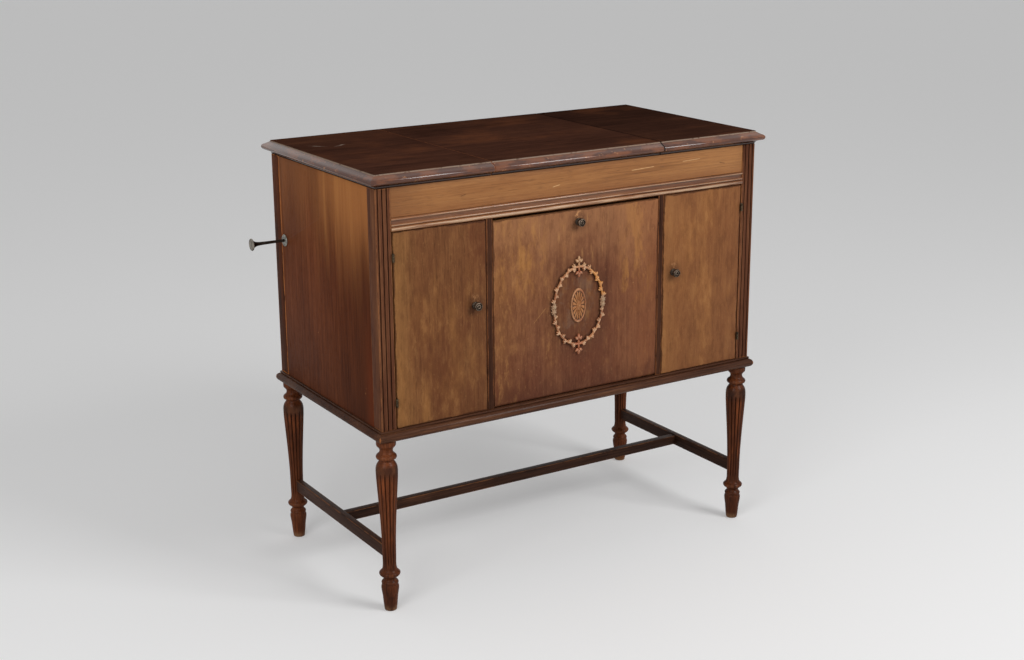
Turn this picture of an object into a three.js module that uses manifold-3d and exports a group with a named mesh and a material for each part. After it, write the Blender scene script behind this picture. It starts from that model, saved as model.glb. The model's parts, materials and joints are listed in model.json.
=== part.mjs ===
// A free-standing console gramophone cabinet, with its spring motor, tone arm and horn.
//
// Millimetres, +Z up. The front faces -Y and +X is to the right of someone facing it.
// The origin is on the floor, under the middle of the whole cabinet with its winding shaft.
// Every piece is first made in the case's own frame, whose X = 0, Y = 0 is the middle of the case.

import * as THREE from 'three';
import { mergeVertices } from 'three/addons/utils/BufferGeometryUtils.js';
import Module from 'manifold-3d';

const wasm = await Module();
wasm.setup();

// ---------------------------------------------------------------- driving dimensions

// case
const overallHeight = 864;
const caseWidth = 886;
const caseDepth = 457;
const boardThickness = 16;
const jointGap = 0.3;
const seatGap = 0.3;

// a cutting tool runs past the faces that it opens by this much
const overrun = 5;

// top
const topThickness = 28;
const topOverhang = 15.5;
const lidGap = 0.8;
const lidGapRight = 1.6;

// base board and legs
const legHeight = 351;
const baseThickness = 22.4;
const baseOverhang = 10;
const baseStrip = 3;
const baseStripHeight = 4;
const legInset = 15.5;
const legSides = 16;
const legShaftRadius = 13.9;
const legDowelRadius = 9;
const legDowelLength = 14;
const dowelClearance = 0.4;

// posts
const frontPostWidth = 31;
const frontPostDepth = 32;
const rearPostWidth = 31;
const rearPostDepth = 34;
const postGrooves = 3;
const postGroovePitch = 9.2;
const postGrooveWidth = 2.4;
const postGrooveDepth = 2.6;
const postFirstGroove = 5.2;

// front
const railHeight = 26;
const friezeHeight = 56;
const railThickness = 17;
const friezeThickness = 14;
const friezeSetback = 1.2;
const partitionThickness = 13;
const centreBayWidth = 393;
const partitionBackGap = 0.5;
const doorThickness = 16;
const doorHingeGap = 2.8;
const doorMeetingGap = 1.6;
const doorTopGap = 1.6;
const doorBottomGap = 0.8;
const fallSideGap = 1.5;
const fallTopGap = 6.5;
const backThickness = 14;

// stretchers
const sideStretcherHeight = 25;
const sideStretcherWidth = 13;
const sideStretcherTop = 132.5;
const longStretcherHeight = 20;
const longStretcherWidth = 16.5;
const longStretcherTop = 130.5;
const longStretcherY = -5;
const tenonDepth = 7;
const mortiseClearance = 0.3;

// door hinges
const hingeHeight = 16;
const hingeKnuckleRadius = 2.6;
const hingePinRadius = 1.2;
const hingeLeafThickness = 1;
const hingeLeafWidth = 13;
const hingeStandoff = 2.9;
const hingeUpperDrop = 48;
const hingeLowerRise = 52.3;
const knuckleClearance = 0.3;

// lid hinge
const lidHingeLength = 360;
const lidHingeKnuckleRadius = 2.6;
const lidHingePinRadius = 1.2;
const lidHingeLeafThickness = 1.2;
const lidHingeLeafWidth = 22;
const lidHingeStandoff = 3.2;
const lidHingeKnuckles = 5;
const lidHingeRoom = 1;

// fall front rod
const fallRodRadius = 3;
const fallRodEngagement = 8;
const rodClearance = 0.3;
const rodFit = 0.1;

// knobs and ornament
const knobRadius = 8.6;
const knobLength = 16;
const knobStemRadius = 4.2;
const knobSides = 16;
const sideKnobInset = 25;
const sideKnobDrop = 164;
const fallKnobDrop = 23;
const garlandHalfWidth = 58.5;
const garlandHalfHeight = 79.5;
const garlandBand = 9;
const garlandDepth = 7;
const garlandClusters = 20;
const garlandLeafReach = 4.5;
const garlandFinialReach = 13.5;
const garlandFinialSharpness = 60;
const garlandPointsPerCluster = 4;
const ornamentDrop = 6;
const pateraHalfWidth = 17.5;
const pateraHalfHeight = 35;
const pateraDepth = 6;
const pateraSides = 24;

// winding shaft
const windingShaftRadius = 3;
const windingShaftInset = 48.5;
const windingShaftDrop = 171.2;
const windingReach = 74;
const windingFlareRadius = 12.5;
const windingFlareLength = 14;
const windingInnerLength = 20;
const windingWormRadius = 8;
const windingWormLength = 30;
const escutcheonRadius = 12.5;
const escutcheonThickness = 3;
const windingSides = 24;
const shaftClearance = 0.4;
const meshGap = 0.3;

// motor
const motorBoardThickness = 12;
const spindleHoleRadius = 6.5;
const wellDepth = 90;
const windingWheelRadius = 46;
const windingWheelThickness = 9;
const barrelX = -58;
const barrelRadius = 53;
const barrelRimRadius = 60;
const barrelHeight = 42;
const barrelRimThickness = 7;
const barrelArborRadius = 5;
const barrelTeeth = 48;
const barrelToothDepth = 2;
const wheelSides = 40;
const pinionRadius = 5;
const pinionLength = 10.5;
const spindleAngle = -77;
const spindleRadius = 3.5;
const spindleTip = 12;
const spindleSides = 20;
const governorWheelRadius = 15.6;
const governorWheelThickness = 7;
const governorShaftRadius = 2;
const governorWormRadius = 3.4;
const governorWormStart = 5;
const governorWormLength = 21;
const governorShaftLength = 104;
const governorShaftStart = 14;
const governorCollarRadius = 6;
const governorCollarLength = 5;
const governorWeightsGap = 15;
const governorWeightsLength = 33;
const governorDiscThickness = 3;
const governorSides = 16;
const governorWeightRadius = 17;
const governorDiscRadius = 18;
const framePlateThickness = 5;
const footstepDepth = 3;
const framePillarRadius = 5;
const bearingThickness = 5;
const bearingMargin = 4;
const frameMargin = 14;
const frameFrontReach = 52;
const frameRightReach = 118;
const barrelDrop = 8;
const frameBottomGap = 15;

// turntable
const platterRadius = 127;
const platterThickness = 8;
const platterLift = 11;
const platterSides = 40;
const platterRim = 4;
const feltThickness = 1.6;
const feltInset = 2;

// levers on the motor board
const leverThickness = 3;
const leverLift = 2;
const leverWidth = 11;
const brakeLeverLength = 50;
const brakeLeverAngle = 100;
const brakePadAngle = -35;
const brakePadGap = 0.4;
const brakePadHeight = 17;
const speedLeverLength = 48;
const speedLeverX = -150;
const speedLeverY = -130;
const speedLeverAngle = 20;
const speedKnobHeight = 8;
const leverPivotRadius = 4;
const leverPivotHeight = 6;

// tone arm and sound box
const tonePivotDistance = 203;
const tonePivotAngle = 31;
const toneBracketRadius = 27;
const toneBracketHeight = 22;
const toneBracketFlange = 4;
const toneArmRadius = 10.5;
const toneArmTipRadius = 6.5;
const toneArmWall = 1.5;
const toneArmSides = 20;
const toneArmBendSteps = 4;
const toneArmBend = 20;
const toneArmLength = 186;
const toneArmSocketDepth = 12;
const toneArmTipBend = 12;
const toneArmTipLength = 9;
const soundBoxRadius = 25;
const soundBoxThickness = 13;
const soundBoxCollar = 7;
const soundBoxClearance = 0.4;
const needleLength = 15;
const needleRadius = 0.9;
const needleInset = 1;
const chuckRadius = 2.6;
const chuckLength = 8;
const needleLean = 30;
const recordThickness = 2;

// horn
const hornBoard = 6;
const hornMouthGap = 0.6;
const hornMouthHeight = 250;
const hornFrontGap = 9;
const hornLength = 222;
const hornRearHalf = 50;
const hornRearZ = 528;

// horn elbow
const elbowThroatRadius = 14;
const elbowWall = 4;
const elbowFlange = 6;
const elbowFlangeMargin = 8;
const elbowBend = 60;
const elbowBendSteps = 4;
const elbowRoundness = 0.45;
const elbowSides = 20;

// record racks
const rackWall = 6;
const rackSlots = 5;
const rackSlotHeight = 322;
const rackDepth = 308;
const rackClearance = 0.5;
const rackFrontGap = 4;

// ---------------------------------------------------------------- derived levels and planes

const caseTop = overallHeight - topThickness;
const caseHalfWidth = caseWidth / 2;
const front = -caseDepth / 2;
const back = caseDepth / 2;
const baseTop = legHeight + baseThickness;
const caseFloor = baseTop + seatGap;
const sideInner = caseHalfWidth - boardThickness;
const postInner = caseHalfWidth - frontPostWidth;
const railTop = caseTop - friezeHeight;
const railBottom = railTop - railHeight;
const centreHalf = centreBayWidth / 2;
const partitionOuter = centreHalf + partitionThickness;
const backInner = back - backThickness;
const legX = caseHalfWidth - legInset;
const legY = caseDepth / 2 - legInset;
const windingShaftY = back - windingShaftInset;
const windingShaftZ = caseTop - windingShaftDrop;
const motorBoardTop = caseTop - wellDepth;
const motorBoardBottom = motorBoardTop - motorBoardThickness;

// ---------------------------------------------------------------- finishes

function finish(color, roughness, metalness) {
  return new THREE.MeshStandardMaterial({ color, roughness, metalness });
}

const finishes = {
  top: () => finish(0x4a2618, 0.38, 0),
  door: () => finish(0x7a5030, 0.45, 0),
  frieze: () => finish(0x9a6c42, 0.45, 0),
  side: () => finish(0x74402a, 0.45, 0),
  frame: () => finish(0x5a3424, 0.42, 0),
  leg: () => finish(0x6b3520, 0.4, 0),
  stretcher: () => finish(0x4b2a1e, 0.5, 0),
  carving: () => finish(0xb98a5a, 0.6, 0),
  inner: () => finish(0x8a6644, 0.75, 0),
  bronze: () => finish(0x4d443c, 0.42, 1),
  nickel: () => finish(0xa5a297, 0.35, 1),
  steel: () => finish(0x8b8a86, 0.35, 1),
  iron: () => finish(0x24211f, 0.5, 0.6),
  brass: () => finish(0xb08d4a, 0.32, 1),
  felt: () => finish(0x2f4a34, 0.95, 0),
};

// ---------------------------------------------------------------- shape helpers

// An axis-aligned board between two corners.
function board(x0, x1, y0, y1, z0, z1) {
  const geometry = new THREE.BoxGeometry(Math.abs(x1 - x0), Math.abs(y1 - y0), Math.abs(z1 - z0));
  return geometry.translate((x0 + x1) / 2, (y0 + y1) / 2, (z0 + z1) / 2);
}

// A turned piece about Z. The profile is [radius, z] points from the bottom of the axis to its top.
function turned(profile, sides) {
  const points = profile.map(([r, z]) => new THREE.Vector2(r, z));
  return new THREE.LatheGeometry(points, sides).rotateX(Math.PI / 2);
}

// A plain round bar about Z, from z0 to z1.
function bar(radius, z0, z1, sides = 16) {
  return turned([[0, z0], [radius, z0], [radius, z1], [0, z1]], sides);
}

// The same shapes laid along X or Y, with their own z running along that axis.
function alongX(geometry) {
  return geometry.rotateY(Math.PI / 2);
}

// A closed outline of [x, y] points, with optional holes, extruded from z0 to z1.
function slab(outline, z0, z1, holes = []) {
  const shape = new THREE.Shape(outline.map(([x, y]) => new THREE.Vector2(x, y)));
  for (const hole of holes) {
    shape.holes.push(new THREE.Path(hole.map(([x, y]) => new THREE.Vector2(x, y))));
  }
  const geometry = new THREE.ExtrudeGeometry(shape, { depth: z1 - z0, bevelEnabled: false });
  return geometry.translate(0, 0, z0);
}

// An outline of [y, z] points extruded from x0 to x1.
function sideways(outline, x0, x1) {
  return slab(outline, x0, x1).rotateX(Math.PI / 2).rotateZ(Math.PI / 2);
}

function arc(cx, cy, radius, from, to, steps) {
  const points = [];
  for (let i = 0; i <= steps; i += 1) {
    const angle = THREE.MathUtils.degToRad(from + ((to - from) * i) / steps);
    points.push([cx + radius * Math.cos(angle), cy + radius * Math.sin(angle)]);
  }
  return points;
}

// Joins rings of equal point counts into one closed skin; the first and last rings are capped,
// or joined to each other where the skin closes on itself.
function skin(rings, closed = false) {
  const count = rings[0].length;
  const positions = rings.flat(2);
  const index = [];
  const last = closed ? rings.length : rings.length - 1;
  for (let r = 0; r < last; r += 1) {
    const here = r * count;
    const next = ((r + 1) % rings.length) * count;
    for (let i = 0; i < count; i += 1) {
      const j = (i + 1) % count;
      index.push(here + i, here + j, next + j, here + i, next + j, next + i);
    }
  }
  if (!closed) {
    const end = (rings.length - 1) * count;
    for (let i = 1; i < count - 1; i += 1) {
      index.push(0, i + 1, i, end, end + i, end + i + 1);
    }
  }
  const geometry = new THREE.BufferGeometry();
  geometry.setAttribute('position', new THREE.Float32BufferAttribute(positions, 3));
  geometry.setIndex(index);
  return geometry;
}

// A board with a worked edge all round: profile points are [distance out from the case, z].
function mouldedBoard(halfX, halfY, profile) {
  return skin(profile.map(([out, z]) => [
    [-halfX - out, -halfY - out, z],
    [halfX + out, -halfY - out, z],
    [halfX + out, halfY + out, z],
    [-halfX - out, halfY + out, z],
  ]));
}

// ---------------------------------------------------------------- cutting and joining

function toManifold(geometry) {
  let bare = geometry.clone();
  bare.deleteAttribute('normal');
  bare.deleteAttribute('uv');
  bare = mergeVertices(bare, 1e-4);
  const mesh = new wasm.Mesh({
    numProp: 3,
    vertProperties: new Float32Array(bare.attributes.position.array),
    triVerts: new Uint32Array(bare.index.array),
  });
  return new wasm.Manifold(mesh);
}

function fromManifold(solid) {
  const mesh = solid.getMesh();
  const geometry = new THREE.BufferGeometry();
  geometry.setAttribute('position', new THREE.BufferAttribute(mesh.vertProperties, 3));
  geometry.setIndex(new THREE.BufferAttribute(mesh.triVerts, 1));
  return geometry;
}

function cut(geometry, ...tools) {
  let solid = toManifold(geometry);
  for (const tool of tools) {
    solid = solid.subtract(toManifold(tool));
  }
  return fromManifold(solid);
}

function join(...pieces) {
  let solid = toManifold(pieces[0]);
  for (const piece of pieces.slice(1)) {
    solid = solid.add(toManifold(piece));
  }
  return fromManifold(solid);
}

function keep(geometry, region) {
  return fromManifold(toManifold(geometry).intersect(toManifold(region)));
}

// ---------------------------------------------------------------- the scene graph

const cabinet = new THREE.Group();

function add(name, geometry, finishName, parent = cabinet) {
  const mesh = new THREE.Mesh(geometry, finishes[finishName]());
  mesh.name = name;
  parent.add(mesh);
  return mesh;
}

function group(x, y, z, parent = cabinet) {
  const holder = new THREE.Group();
  holder.position.set(x, y, z);
  parent.add(holder);
  return holder;
}

// left is -1 and right is +1
const sides = [['left', -1], ['right', 1]];

// ---------------------------------------------------------------- base board and legs

// Half-round edge below a narrow flat strip, worked on the board itself.
function addBaseBoard() {
  const roundRadius = (baseThickness - baseStripHeight) / 2;
  const nose = arc(baseOverhang - roundRadius, legHeight + roundRadius, roundRadius, -90, 90, 8);
  const profile = [
    ...nose,
    [baseStrip - 1, baseTop - baseStripHeight],
    [baseStrip, baseTop - baseStripHeight + 1],
    [baseStrip, baseTop],
  ];
  const socketTop = legHeight + legDowelLength + dowelClearance;
  const sockets = [];
  for (const [, sx] of sides) {
    for (const sy of [-1, 1]) {
      const socket = bar(legDowelRadius + dowelClearance, legHeight - overrun, socketTop);
      sockets.push(socket.translate(sx * legX, sy * legY, 0));
    }
  }
  const edged = mouldedBoard(caseHalfWidth, caseDepth / 2, profile);
  add('base_board', cut(edged, ...sockets), 'frame');
}

// Turned leg: dowel, cap, cove, ring, shoulder, tapered shaft, lower ring, neck, beads and foot.
const legProfile = [
  [0, 0], [11, 0], [12.5, 2], [14.6, 26], [17.2, 44], [17.4, 50], [15.6, 55], [16.8, 58.5], [15.4, 62],
  [12.6, 65.5], [13.6, 69], [20.4, 76], [20.8, 79.5], [14.6, 87], [13.2, 96], [13.9, 150], [17.6, 220],
  [20.6, 262], [21.6, 286], [20.4, 299], [15.6, 308], [14.2, 311], [18.8, 315], [20.2, 319],
  [17.4, 323], [12.9, 329], [13.4, 334], [17.8, 340], [19.2, 344],
];

function addLeg(name, sx, sy) {
  const profile = [
    ...legProfile,
    [19.2, legHeight - seatGap],
    [legDowelRadius, legHeight - seatGap],
    [legDowelRadius, legHeight + legDowelLength],
    [0, legHeight + legDowelLength],
  ];
  const mortise = board(
    -sideStretcherWidth / 2 - mortiseClearance,
    sideStretcherWidth / 2 + mortiseClearance,
    -sy * (legShaftRadius - tenonDepth),
    -sy * (legShaftRadius + overrun),
    sideStretcherTop - sideStretcherHeight - mortiseClearance,
    sideStretcherTop + mortiseClearance,
  );
  const holder = group(sx * legX, sy * legY, 0);
  add(name, cut(turned(profile, legSides), mortise), 'leg', holder);
}

function addStretchers() {
  const reach = legY - legShaftRadius + tenonDepth - mortiseClearance;
  for (const [side, sx] of sides) {
    const x0 = sx * legX - sideStretcherWidth / 2;
    const y = [-reach, reach];
    const z0 = sideStretcherTop - sideStretcherHeight;
    const stretcher = board(x0, x0 + sideStretcherWidth, ...y, z0, sideStretcherTop);
    add(`side_stretcher_${side}`, stretcher, 'stretcher');
  }
  const end = legX - sideStretcherWidth / 2 - jointGap;
  const y0 = longStretcherY - longStretcherWidth / 2;
  const z0 = longStretcherTop - longStretcherHeight;
  const long = board(-end, end, y0, y0 + longStretcherWidth, z0, longStretcherTop);
  add('long_stretcher', long, 'stretcher');
}

addBaseBoard();
for (const [side, sx] of sides) {
  addLeg(`front_leg_${side}`, sx, -1);
  addLeg(`rear_leg_${side}`, sx, 1);
}
addStretchers();

// ---------------------------------------------------------------- posts and panels

// Front post: a square post with V grooves down its front face.
function addFrontPost(side, sx) {
  const outline = [[0, 0]];
  for (let i = 0; i < postGrooves; i += 1) {
    const middle = postFirstGroove + i * postGroovePitch;
    outline.push([middle - postGrooveWidth / 2, 0]);
    outline.push([middle - postGrooveWidth / 5, postGrooveDepth]);
    outline.push([middle + postGrooveWidth / 5, postGrooveDepth]);
    outline.push([middle + postGrooveWidth / 2, 0]);
  }
  outline.push([frontPostWidth, 0], [frontPostWidth, frontPostDepth], [0, frontPostDepth]);
  const placed = outline.map(([x, y]) => [sx * (caseHalfWidth - x), front + y]);
  add(`front_post_${side}`, slab(placed, caseFloor, caseTop), 'frame');
}

function addRearPost(side, sx) {
  const x = [sx * caseHalfWidth, sx * (caseHalfWidth - rearPostWidth)].sort((a, b) => a - b);
  add(`rear_post_${side}`, board(...x, back - rearPostDepth, back, caseFloor, caseTop), 'frame');
}

function windingBore(radius) {
  return alongX(bar(radius, -caseHalfWidth - overrun, 0)).translate(0, windingShaftY, windingShaftZ);
}

function addSidePanel(side, sx) {
  const x = [sx * caseHalfWidth, sx * sideInner].sort((a, b) => a - b);
  const y = [front + frontPostDepth + jointGap, back - rearPostDepth - jointGap];
  const panel = board(...x, ...y, caseFloor, caseTop);
  const bored = sx < 0 ? cut(panel, windingBore(windingShaftRadius + shaftClearance)) : panel;
  add(`side_panel_${side}`, bored, 'side');
}

function addBackPanel() {
  const reach = caseHalfWidth - rearPostWidth - jointGap;
  add('back_panel', board(-reach, reach, backInner, back, caseFloor, caseTop), 'inner');
}

// Frieze board and, below it, the moulded rail: bead, flat, bead, groove and a rounded member.
function addFrieze() {
  const reach = postInner - jointGap;
  const y0 = front + friezeSetback;
  const frieze = board(-reach, reach, y0, y0 + friezeThickness, railTop + jointGap, caseTop);
  add('frieze_board', frieze, 'frieze');
  const outline = [
    [front + railThickness, 0], [front + 0.6, 0],
    ...arc(front + 1.2, 4.6, 4, -120, -240, 4),
    [front + 1.8, 9.2],
    ...arc(front, 12, 2, -90, -270, 4),
    [front + 1.4, 14.4], [front + 1.4, 20.6],
    ...arc(front, 23, 2, -90, -270, 4),
    [front + 1.4, railHeight], [front + railThickness, railHeight],
  ];
  add('front_rail', sideways(outline, -reach, reach).translate(0, 0, railBottom), 'frame');
}

// The partitions' front edges show as narrow stiles between the doors.
function addPartition(side, sx) {
  const x = [sx * centreHalf, sx * partitionOuter].sort((a, b) => a - b);
  const y = [front, backInner - partitionBackGap];
  const panel = board(...x, ...y, caseFloor, caseTop);
  const railY = front + railThickness + jointGap;
  const notchX = [x[0] - overrun, x[1] + overrun];
  const railNotch = board(...notchX, front - overrun, railY, railBottom - jointGap, caseTop + overrun);
  const rodSpan = [-sx * overrun, sx * (fallRodEngagement + rodClearance)].sort((a, b) => a - b);
  const rodHole = alongX(bar(fallRodRadius + rodClearance, ...rodSpan));
  const tools = [railNotch, rodHole.translate(sx * centreHalf, fallAxisY, fallAxisZ)];
  if (sx < 0) {
    tools.push(windingBore(windingShaftRadius + shaftClearance));
  }
  add(`partition_${side}`, cut(panel, ...tools), 'frame');
}

const fallAxisY = front + doorThickness / 2;
const fallAxisZ = caseFloor + doorBottomGap + doorThickness / 2;

for (const [side, sx] of sides) {
  addFrontPost(side, sx);
  addRearPost(side, sx);
  addSidePanel(side, sx);
  addPartition(side, sx);
}
addBackPanel();
addFrieze();

// ---------------------------------------------------------------- top in three sections

const hingeAxisY = back + lidHingeStandoff;
const hingeAxisZ = caseTop;

// Fillet, sloping ogee, rounded nosing and a cove underneath.
const nosingRadius = 6;
const nosingCentre = caseTop + 14.4;
const topProfile = [
  [-0.4, caseTop + seatGap], [0.2, caseTop + 3.4], [2.2, caseTop + 5.8], [6, caseTop + 7.4],
  ...arc(topOverhang - nosingRadius, nosingCentre, nosingRadius, -85, 62, 6),
  [topOverhang - 6.3, nosingCentre + 6.6], [topOverhang - 10.9, nosingCentre + 9.2],
  [1.2, overallHeight - 2.4], [0.6, overallHeight],
];

function addTop() {
  const whole = () => mouldedBoard(caseHalfWidth, caseDepth / 2, topProfile);
  const reach = caseWidth;
  const depth = [-caseDepth, caseDepth];
  const height = [legHeight, overallHeight + overrun];
  add('top_left', keep(whole(), board(-reach, -centreHalf - lidGap, ...depth, ...height)), 'top');
  add('top_right', keep(whole(), board(centreHalf + lidGapRight, reach, ...depth, ...height)), 'top');
  const recessHalf = lidHingeLength / 2 + lidHingeRoom;
  const leafRecess = board(
    -recessHalf,
    recessHalf,
    back - lidHingeLeafWidth - lidHingeRoom,
    back + topOverhang + overrun,
    caseTop - overrun,
    caseTop + seatGap + lidHingeLeafThickness + jointGap,
  );
  const knuckleRelief = alongX(bar(lidHingeKnuckleRadius + lidHingeRoom, -recessHalf, recessHalf));
  knuckleRelief.translate(0, hingeAxisY, hingeAxisZ);
  const lid = keep(whole(), board(-centreHalf, centreHalf, ...depth, ...height));
  add('lid', cut(lid, leafRecess, knuckleRelief), 'top');
}

addTop();

// One leaf of a hinge lying along X: a plate with its own share of the knuckles. The fixed leaf hangs
// down the back and carries the pin, the moving leaf lies under the lid.
function lidHingeLeaf(fixed) {
  const half = lidHingeLength / 2;
  const pitch = lidHingeLength / lidHingeKnuckles;
  const thick = lidHingeLeafThickness;
  const backY = jointGap - lidHingeStandoff;
  const lidY = -lidHingeStandoff - lidHingeLeafWidth;
  const plate = fixed
    ? board(-half, half, backY, backY + thick, -lidHingeLeafWidth, -lidHingeKnuckleRadius)
    : board(-half, half, lidY, -lidHingeStandoff, seatGap, seatGap + thick);
  const pieces = [plate];
  for (let i = 0; i < lidHingeKnuckles; i += 1) {
    if ((i % 2 === 0) !== fixed) {
      continue;
    }
    const x0 = -half + i * pitch + (i === 0 ? 0 : knuckleClearance / 2);
    const x1 = -half + (i + 1) * pitch - (i === lidHingeKnuckles - 1 ? 0 : knuckleClearance / 2);
    pieces.push(alongX(bar(lidHingeKnuckleRadius, x0, x1)));
    const web = fixed
      ? board(x0, x1, backY, 0, -lidHingeKnuckleRadius - thick, -lidHingePinRadius)
      : board(x0, x1, -lidHingeStandoff - thick, 0, seatGap, seatGap + thick);
    pieces.push(web);
  }
  if (fixed) {
    return join(...pieces, alongX(bar(lidHingePinRadius, -half, half)));
  }
  const bore = alongX(bar(lidHingePinRadius + knuckleClearance, -half - overrun, half + overrun));
  return cut(join(...pieces), bore);
}

function addLidHinge() {
  const holder = group(0, hingeAxisY, hingeAxisZ);
  add('lid_hinge_fixed_leaf', lidHingeLeaf(true), 'brass', holder);
  add('lid_hinge_moving_leaf', lidHingeLeaf(false), 'brass', holder);
}

addLidHinge();

// ---------------------------------------------------------------- doors

const doorTop = railBottom - doorTopGap;
const doorBottom = caseFloor + doorBottomGap;
const doorOuter = postInner - doorHingeGap;
const doorInner = partitionOuter + doorMeetingGap;
const hingeX = postInner - doorHingeGap / 2;
const hingeY = front - hingeStandoff;

function addKnob(name, x, z) {
  const profile = [
    [0, jointGap], [knobRadius * 0.86, jointGap], [knobRadius * 0.86, 2], [knobStemRadius, 3.4],
    [knobStemRadius, 6.4], [knobRadius * 0.8, 9], [knobRadius, 11.5], [knobRadius * 0.94, 14.4],
    [knobRadius * 0.62, knobLength], [knobRadius * 0.4, knobLength - 1.4], [0, knobLength - 1.4],
  ];
  const holder = group(x, front, z);
  add(name, turned(profile, knobSides).rotateX(Math.PI / 2), 'bronze', holder);
}

// Fixed leaf: end knuckles and the pin. Moving leaf: the middle knuckle, bored for the pin.
function doorHingeLeaf(fixed, sx) {
  const half = hingeHeight / 2;
  const gap = knuckleClearance / 2;
  const middleHalf = hingeHeight / 6;
  const wall = doorHingeGap / 2 - jointGap;
  const toward = fixed ? sx : -sx;
  const x = [toward * (wall - hingeLeafThickness), toward * wall].sort((a, b) => a - b);
  const plate = board(...x, 0, hingeStandoff + hingeLeafWidth, -half, half);
  const room = (z0, z1) => bar(hingeKnuckleRadius + knuckleClearance, z0, z1);
  const knuckle = (z0, z1) => bar(hingeKnuckleRadius, z0, z1);
  if (fixed) {
    const notched = cut(plate, room(-middleHalf - gap, middleHalf + gap));
    const ends = [knuckle(-half, -middleHalf - gap), knuckle(middleHalf + gap, half)];
    return join(notched, ...ends, bar(hingePinRadius, -half, half));
  }
  const end = half + overrun;
  const notched = cut(plate, room(-end, gap - middleHalf), room(middleHalf - gap, end));
  const bore = bar(hingePinRadius + knuckleClearance, -end, end);
  return cut(join(notched, knuckle(gap - middleHalf, middleHalf - gap)), bore);
}

function addDoor(side, sx) {
  const x = [sx * doorInner, sx * doorOuter].sort((a, b) => a - b);
  add(`door_${side}`, board(...x, front, front + doorThickness, doorBottom, doorTop), 'door');
  addKnob(`knob_${side}`, sx * (doorInner + sideKnobInset), railBottom - sideKnobDrop);
  const levels = [['upper', railBottom - hingeUpperDrop], ['lower', caseFloor + hingeLowerRise]];
  for (const [level, z] of levels) {
    const holder = group(sx * hingeX, hingeY, z);
    add(`${level}_hinge_fixed_leaf_${side}`, doorHingeLeaf(true, sx), 'bronze', holder);
    add(`${level}_hinge_moving_leaf_${side}`, doorHingeLeaf(false, sx), 'bronze', holder);
  }
}

for (const [side, sx] of sides) {
  addDoor(side, sx);
}

// ---------------------------------------------------------------- fall front with its ornament

const fallTop = railBottom - fallTopGap;
const ornamentZ = (doorBottom + fallTop) / 2 - ornamentDrop;

function addFallFront() {
  const reach = centreHalf - fallSideGap;
  const bottomRound = arc(fallAxisY, fallAxisZ, doorThickness / 2, 180, 360, 8);
  const outline = [...bottomRound, [front + doorThickness, fallTop], [front, fallTop]];
  const panel = sideways(outline, -reach, reach);
  const bore = alongX(bar(fallRodRadius + rodFit, -reach - overrun, reach + overrun));
  bore.translate(0, fallAxisY, fallAxisZ);
  add('fall_front', cut(panel, bore), 'door');
  const rodEnd = centreHalf + fallRodEngagement;
  const rod = alongX(bar(fallRodRadius, -rodEnd, rodEnd));
  add('fall_front_rod', rod.translate(0, fallAxisY, fallAxisZ), 'steel');
  addKnob('knob_centre', 0, fallTop - fallKnobDrop);
}

// Oval garland: a ring whose edges swell at each cluster of leaves, with a finial above and below.
function garlandEdge(halfWidth, halfHeight, swell) {
  const points = [];
  const steps = garlandClusters * garlandPointsPerCluster;
  for (let i = 0; i < steps; i += 1) {
    const angle = (i / steps) * 2 * Math.PI;
    const wave = Math.max(0, Math.cos(garlandClusters * angle));
    const crown = Math.pow(Math.abs(Math.sin(angle)), garlandFinialSharpness);
    const finial = swell > 0 ? garlandFinialReach * crown : 0;
    const x = (halfWidth + swell * wave) * Math.cos(angle);
    const y = (halfHeight + swell * wave + finial) * Math.sin(angle);
    points.push([x, y]);
  }
  return points;
}

function addOrnament() {
  const half = garlandBand / 2;
  const outer = garlandEdge(garlandHalfWidth + half, garlandHalfHeight + half, garlandLeafReach);
  const inner = garlandEdge(garlandHalfWidth - half, garlandHalfHeight - half, -garlandLeafReach / 2);
  const ring = slab(outer, 0, garlandDepth, [inner]).rotateX(Math.PI / 2);
  add('garland', ring.translate(0, front - jointGap, ornamentZ), 'carving');
  const dome = turned([
    [0, 0], [1, 0], [1, 0.45], [0.93, 0.6], [0.84, 0.42], [0.5, 0.8], [0, 1],
  ], pateraSides);
  dome.scale(pateraHalfWidth, pateraHalfHeight, pateraDepth).rotateX(Math.PI / 2);
  add('patera', dome.translate(0, front - jointGap, ornamentZ), 'carving');
}

addFallFront();
addOrnament();

// ---------------------------------------------------------------- record racks

// One insert a side: floor, roof and upright dividers, open at the front.
function addRack(side, sx) {
  const reach = [sx * (partitionOuter + rackClearance), sx * (postInner - rackClearance)];
  const [x0, x1] = reach.sort((a, b) => a - b);
  const z0 = caseFloor + seatGap;
  const z1 = z0 + rackSlotHeight + 2 * rackWall;
  const slotWidth = (x1 - x0 - rackWall * (rackSlots + 1)) / rackSlots;
  const y0 = front + doorThickness + rackFrontGap;
  const y1 = y0 + rackDepth;
  const slots = [];
  for (let i = 0; i < rackSlots; i += 1) {
    const left = x0 + rackWall + i * (slotWidth + rackWall);
    slots.push(board(left, left + slotWidth, y0 - overrun, y1 + overrun, z0 + rackWall, z1 - rackWall));
  }
  add(`record_rack_${side}`, cut(board(x0, x1, y0, y1, z0, z1), ...slots), 'inner');
}

for (const [side, sx] of sides) {
  addRack(side, sx);
}

// ---------------------------------------------------------------- spring motor

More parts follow.
